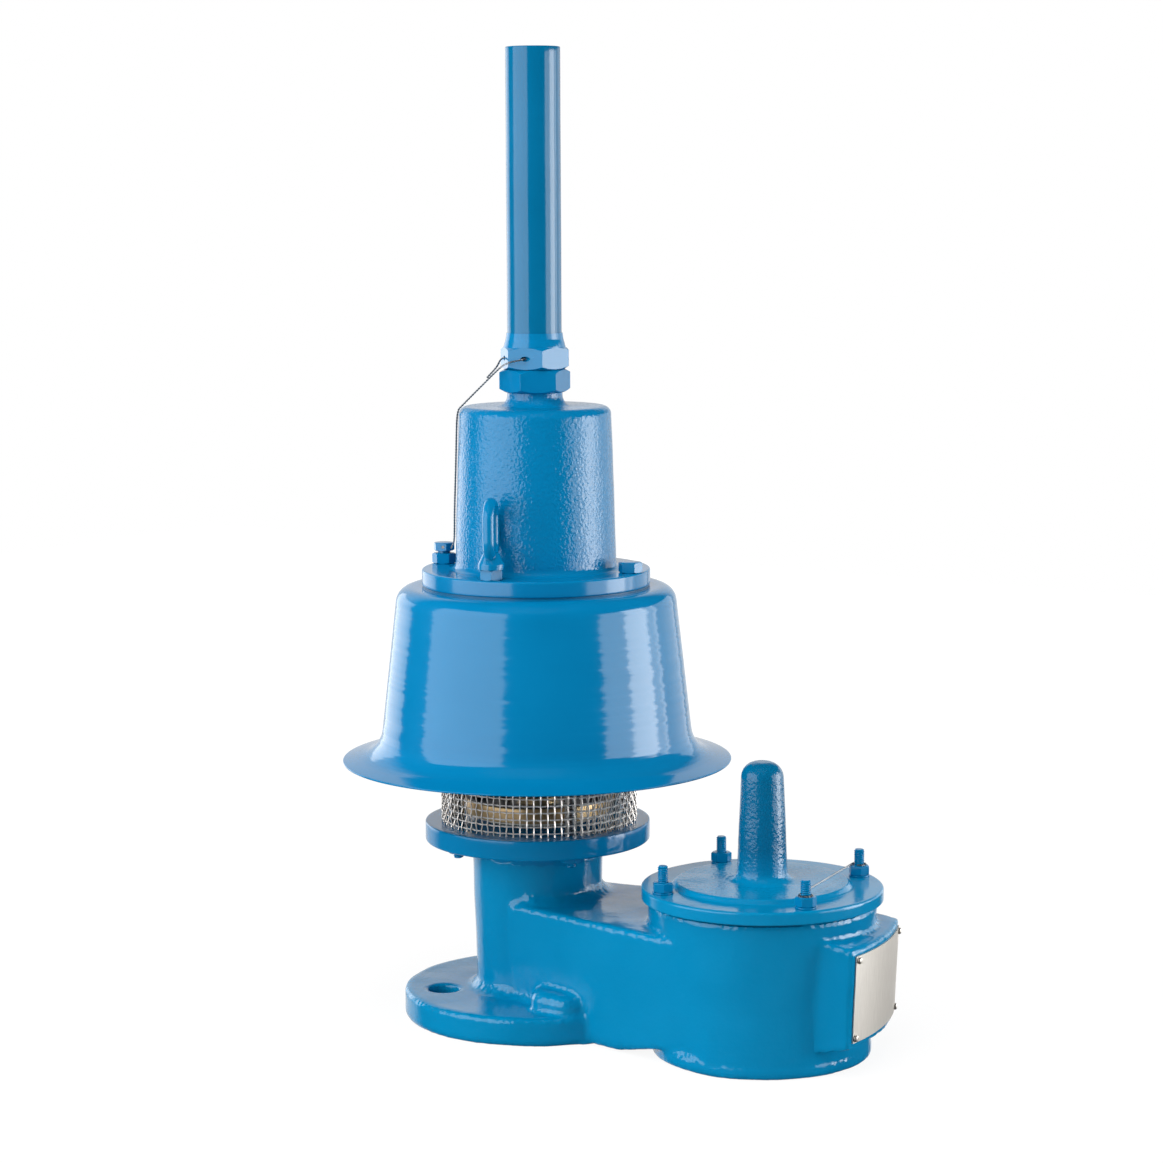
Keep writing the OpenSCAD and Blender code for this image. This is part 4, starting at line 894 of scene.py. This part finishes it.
# %% [markdown]
# ## Threads
# The studs of the cover and the ends of the posts are threaded rod under paint. A thread is a cylinder
# whose radius is a zigzag of the height minus the share of a turn, so the ridge climbs one pitch each time
# round. Paint fills the root, so the thread is shallower than a bare one.

# %% Threaded rods
STUD_R = 3.2 * MM
PITCH_STUD = 1.27 * MM
THREAD_DEPTH = 0.5 * MM
THREAD_STEPS, THREAD_AROUND = 6, 22
END_LENGTH, END_DEPTH = 0.8 * MM, 0.6 * MM
STUD_CIRCLE, POST_CIRCLE = 63.5 * MM, 53 * MM
STUD_LEVELS = (79.7 * MM, 118 * MM)
POST_END_LEVELS = (102.9 * MM, 123 * MM)


def threaded(places, low, high, radius):
    """Rods at places (x, y): r = radius - depth |zigzag(z / pitch - angle / 2 pi)|, thin at both ends."""
    z = np.linspace(low, high, int((high - low) / PITCH_STUD * THREAD_STEPS))
    angle = 2 * math.pi * np.arange(THREAD_AROUND) / THREAD_AROUND
    phase = (z[:, None] / PITCH_STUD - angle / (2 * math.pi)) % 1
    ends = np.clip(np.minimum(z - low, high - z) / END_LENGTH, 0, 1)[:, None]
    r = radius - THREAD_DEPTH * np.abs(2 * phase - 1) - (1 - ends) * END_DEPTH
    rod = np.stack([r * np.cos(angle), r * np.sin(angle), np.broadcast_to(z[:, None], r.shape)], axis=-1)
    spots = np.array([(x, y, 0) for x, y in places])
    return rod[None] + spots[:, None, None]


def ring_of(radius, first_degrees, centre_x=0.0):
    """Four places on a circle, a quarter turn apart: centre + radius (cos angle, sin angle)."""
    angle = np.radians(first_degrees + 90 * np.arange(4))
    return np.column_stack([centre_x + radius * np.cos(angle), radius * np.sin(angle)])


stud_places = ring_of(STUD_CIRCLE, first_degrees=54, centre_x=DRUM_X)
post_places = ring_of(POST_CIRCLE, first_degrees=57)
skin("cover_studs_threaded", threaded(stud_places, *STUD_LEVELS, STUD_R), turned_enamel, caps=True,
     slot="blue_enamel", replaced=["cover_studs"])
skin("post_ends_threaded", threaded(post_places, *POST_END_LEVELS, STUD_R), turned_enamel, caps=True,
     slot="blue_enamel")
print("threads:", len(stud_places), "studs and", len(post_places), "post ends")

# %% [markdown]
# ## Posts
# Four round posts stand inside the screen and carry the support plate and the hood. Each is a bar turned
# down at its top, so one outline is turned once and copied to the four places by adding an offset to the
# array.

# %% Posts inside the screen
POST = [(0.2, 123.0, 0), (3.9, 123.0, 0), (4.0, 123.4, 0), (4.0, 260.2, 0), (3.2, 260.2, 0),
        (3.2, 266.2, 0), (0.2, 266.2, 0)]
post_grid = turned(outline(POST, step=8, closed=False), axis_x=0, around=40)
post_grid = np.concatenate([post_grid + np.array([x, y, 0]) for x, y in post_places])
skin("posts_turned", post_grid, turned_steel, caps=True, slot="stainless_steel", replaced=["posts"])
print("posts:", len(post_places))

# %% [markdown]
# ## Seal wires
# A seal wire shows if the adjustment was turned: two thin strands twisted together, threaded through the
# corner of the hexagon and drawn down over the bonnet to the drilled bolt. The route repeats the points of
# the CAD source, and at its start the loose end goes on to meet the main run. A smooth curve through the
# points is a cubic whose slope at each point follows its two neighbours, and each strand circles that curve
# half a turn behind the other.

# %% Twisted wire
STRAND_R = 0.32 * MM
TWIST = 3.6 * MM
STRAND_SIDES = 6
CURVE_PARTS = 40
WIRE_STEP = 0.3 * MM
ASIDE = (0.31, 0.95, 0.05)
SEAL_ROUTE = np.array([
    (-19.7, -22.8, 399.0), (-15.5, -18.6, 405.4), (-14.4, -15.8, 409.6), (-12.9, -14.0, 411),
    (-10.6, -14.5, 411), (-3.6, -16.1, 411), (3.0, -17.5, 411), (5.7, -18.1, 411), (6.6, -19.6, 410.8),
    (4.2, -21.2, 410.2), (1.2, -21.9, 409.6), (-4.5, -22.4, 408.2), (-13, -19.6, 404.4),
    (-25, -25.4, 391.5), (-32.3, -31.2, 382.2), (-34.1, -32.8, 379.4), (-34.9, -33.3, 374.5),
    (-35.4, -33.4, 366), (-38, -31, 344), (-40.8, -28.8, 318), (-44.2, -25, 299), (-50, -19.6, 292.6),
    (-54, -14.6, 291.2)]) * MM


def smooth_line(route, step):
    """A cubic between each two points, with slopes from their neighbours, cut into equal steps."""
    ends = np.concatenate([2 * route[:1] - route[1:2], route, 2 * route[-1:] - route[-2:-1]])
    a, b, c, d = ends[:-3], ends[1:-2], ends[2:-1], ends[3:]
    t = np.linspace(0, 1, CURVE_PARTS, endpoint=False)[None, :, None]
    a, b, c, d = (p[:, None] for p in (a, b, c, d))
    curve = 0.5 * (2 * b + (c - a) * t + (2 * a - 5 * b + 4 * c - d) * t ** 2
                   + (3 * b - a - 3 * c + d) * t ** 3)
    curve = np.concatenate([curve.reshape(-1, 3), route[-1:]])
    along = np.concatenate([[0], np.cumsum(np.linalg.norm(np.diff(curve, axis=0), axis=1))])
    at = np.linspace(0, along[-1], int(along[-1] / step))
    return np.stack([np.interp(at, along, curve[:, k]) for k in range(3)], axis=1), along[-1]


def frame_along(line):
    """Two directions across a line: one square to it and to ASIDE, the other square to both."""
    along = np.gradient(line, axis=-2)
    along /= np.linalg.norm(along, axis=-1, keepdims=True)
    across = np.cross(along, ASIDE)
    across /= np.linalg.norm(across, axis=-1, keepdims=True)
    return across, np.cross(along, across)


def twisted_pair(route):
    """Two strands that circle the route's smooth line, half a turn apart, once every TWIST."""
    line, length = smooth_line(route, WIRE_STEP)
    across, up = frame_along(line)
    turn = 2 * math.pi * np.linspace(0, length, len(line))[None] / TWIST + math.pi * np.arange(2)[:, None]
    strands = line + STRAND_R * (np.cos(turn)[..., None] * across + np.sin(turn)[..., None] * up)
    return tube(strands, *frame_along(strands), STRAND_R, STRAND_SIDES), line, length


def seal_wire(name, route, node):
    """A twisted pair along a route, in place of a CAD node; returns the length of its smooth line."""
    strands, line, length = twisted_pair(route)
    wire = skin(name, strands, seal_steel, caps=True, slot="seal_wire_steel", replaced=[node])
    return length


print("seal wire:", round(seal_wire("seal_wire_twisted", SEAL_ROUTE, "seal_wire") / MM), "mm")

# %% [markdown]
# ## Wire on the cover
# A second seal wire ties two of the cover's nuts together. It hooks round one stud, runs straight over the
# raised face and hooks round the other, so its route is two arcs of the same circle joined by their common
# tangent.

# %% Wire between two of the cover's studs
WIRE_Z = 108.8 * MM
LOOP_R = 3.95 * MM
HOOK = np.linspace(0, 1.5 * math.pi, 10)
STRAIGHT_POINTS = 45


def hook_round(stud, start):
    """Three quarters of a circle of LOOP_R round a stud, from the angle start."""
    turn = start + HOOK
    return np.array([*stud, WIRE_Z]) + LOOP_R * np.stack([np.cos(turn), np.sin(turn), 0 * turn], axis=1)


def cover_wire_route():
    """A hook round the first stud, a straight along both hooks' common tangent, a hook round the fourth."""
    heading = math.atan2(*(stud_places[3] - stud_places[0])[::-1])
    leaving = hook_round(stud_places[0], heading)
    arriving = hook_round(stud_places[3], heading - math.pi / 2)
    straight = np.linspace(leaving[-1], arriving[0], STRAIGHT_POINTS)[1:-1]
    return np.concatenate([leaving, straight, arriving])


cover_wire = seal_wire("cover_seal_wire_twisted", cover_wire_route(), "cover_seal_wire")
print("cover wire:", round(cover_wire / MM), "mm")

# %% [markdown]
# ## Pipe
# The stem housing is plain pipe closed by a disc. It is turned here too, with finer steps than the CAD
# mesh, because a long glossy cylinder shows every facet.

# %% Stem housing
PIPE = [(13.35, 414.6, 0), (16.7, 414.6, 0), (16.7, 598.6, 0.7), (13.35, 598.6, 0.5)]
PIPE_LUMPS = [(60, 0.05, 41, 428, 596)]
pipe_grid = turned(outline(PIPE, step=4), axis_x=0, around=128, rough=PIPE_LUMPS)
pipe = skin("housing_pipe_drawn", pipe_grid, pipe_enamel, wrap_rows=True, slot="blue_enamel",
            replaced=["housing_pipe"])
print("pipe:", len(pipe.data.polygons), "faces")

# %% [markdown]
# ## The remaining CAD pieces
# Nuts, bolts and the eye already have the right shape, but a CAD mesh is loose flat triangles. A merged
# copy of each, with its flat faces joined and its sharp edges broken by a small bevel, takes light as the
# real piece does: paint never leaves an edge quite sharp.

# %% Copies with broken edges
FLAT = math.radians(0.8)
COPY_MERGE = 0.005 * MM
EDGE_MM = 0.3
slot_of = {part["node"]: part["material_slot"] for part in frame["record"]["subparts"]}


def dressed(node, material, bevel_mm=0.0):
    """A merged copy of a CAD node that stands for it, with sharp edges bevelled by bevel_mm."""
    solid = bmesh.new()
    solid.from_mesh(frame["nodes"][node].data)
    bmesh.ops.remove_doubles(solid, verts=solid.verts, dist=COPY_MERGE)
    bmesh.ops.dissolve_limit(solid, angle_limit=FLAT, verts=solid.verts, edges=solid.edges)
    points = [v.co[:] for v in solid.verts]
    solid.verts.index_update()
    faces = [[v.index for v in f.verts] for f in solid.faces]
    solid.free()
    body = next(b for b, members in frame["record"]["behaviour"]["bodies"].items() if node in members)
    made = piece(node + "_dressed", points, faces, material, body=body, slot=slot_of[node], replaced=[node])
    if bevel_mm:
        edge = made.modifiers.new("broken_edge", "BEVEL")
        edge.width = bevel_mm * MM
        edge.segments = 2
        edge.limit_method = "ANGLE"
        edge.angle_limit = SHARP
        edge.harden_normals = True
    return made


painted = ["post_nuts", "support_plate", "bonnet_bolts", "seal_bolt", "seal_bolt_nut", "eye_stud",
           "eye_lock_nut", "lifting_eye", "lock_nut", "housing_hexagon", "housing_end_disc",
           "cover_washers", "cover_nuts"]
unbevelled = ("lifting_eye", "support_plate")
for name in painted:
    dressed(name, turned_enamel, 0.0 if name in unbevelled else EDGE_MM)
print("painted copies:", len(painted))

# %% [markdown]
# ## Spring
# The pressure spring stands between two buttons, and both of them move: the lower one with the pallet, the
# upper one with the adjusting screw. A coil that rode on either of them would cut through the other. So the
# helix is made in two lengths that meet inside it, each fixed in place on no body.

# %% Pressure spring
COIL_R, COIL_WIRE_R = 21 * MM, 2 * MM
COIL_TURNS = 7
COIL_LOW, COIL_HIGH = 300.1 * MM, 355.9 * MM
COIL_SPLIT = 342 * MM
COIL_STEPS, COIL_SIDES = 48, 12
BUTTON_LOW, BUTTON_HIGH = 300 * MM, 357 * MM


def coil(low, high):
    """A circle carried along a helix between two levels, with COIL_TURNS from COIL_LOW to COIL_HIGH."""
    pitch = (COIL_HIGH - COIL_LOW) / COIL_TURNS
    z = np.linspace(low, high, int((high - low) / pitch * COIL_STEPS))
    turn = 2 * math.pi * (z - COIL_LOW) / pitch
    out = np.stack([np.cos(turn), np.sin(turn), 0 * turn], axis=-1)[None]
    line = COIL_R * out + np.array([0, 0, 1]) * z[:, None]
    along = np.gradient(line, axis=-2)
    along /= np.linalg.norm(along, axis=-1, keepdims=True)
    return tube(line, out, np.cross(along, out), COIL_WIRE_R, COIL_SIDES)


halves = (("pressure_spring_lower", COIL_LOW, COIL_SPLIT, "pressure_assembly", BUTTON_LOW),
          ("pressure_spring_upper", COIL_SPLIT, COIL_HIGH, "spring_adjuster", BUTTON_HIGH))
for name, low, high, button, end in halves:
    half = skin(name, coil(low, high), spring_steel, caps=True, body=None, slot=slot_of["pressure_spring"],
                replaced=["pressure_spring"])
    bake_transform(half)
print("spring:", COIL_TURNS, "turns in two lengths")

# %% [markdown]
# ## Plate, gaskets and inner parts
# What is left is the blank nameplate with its screws, the gaskets whose edges were painted over with the
# rest, and the works inside. They keep their CAD shape as merged copies, and each gets the material that
# the real one is made of.

# %% Copies with their own materials
bare = {"pressure_pallet": dull_bronze, "stem_bush": dull_bronze, "bonnet_gasket": gasket_enamel,
        "cover_gasket": gasket_enamel, "pressure_seal": seal_film, "vacuum_seal": seal_film,
        "cover_bush": seal_film, "nameplate": plate_metal, "nameplate_screws": plate_metal}
shown = {n for n, o in frame["nodes"].items() if not o.hide_render}
for name in sorted(shown):
    dressed(name, bare.get(name, turned_steel))
print("bare copies:", len(shown))
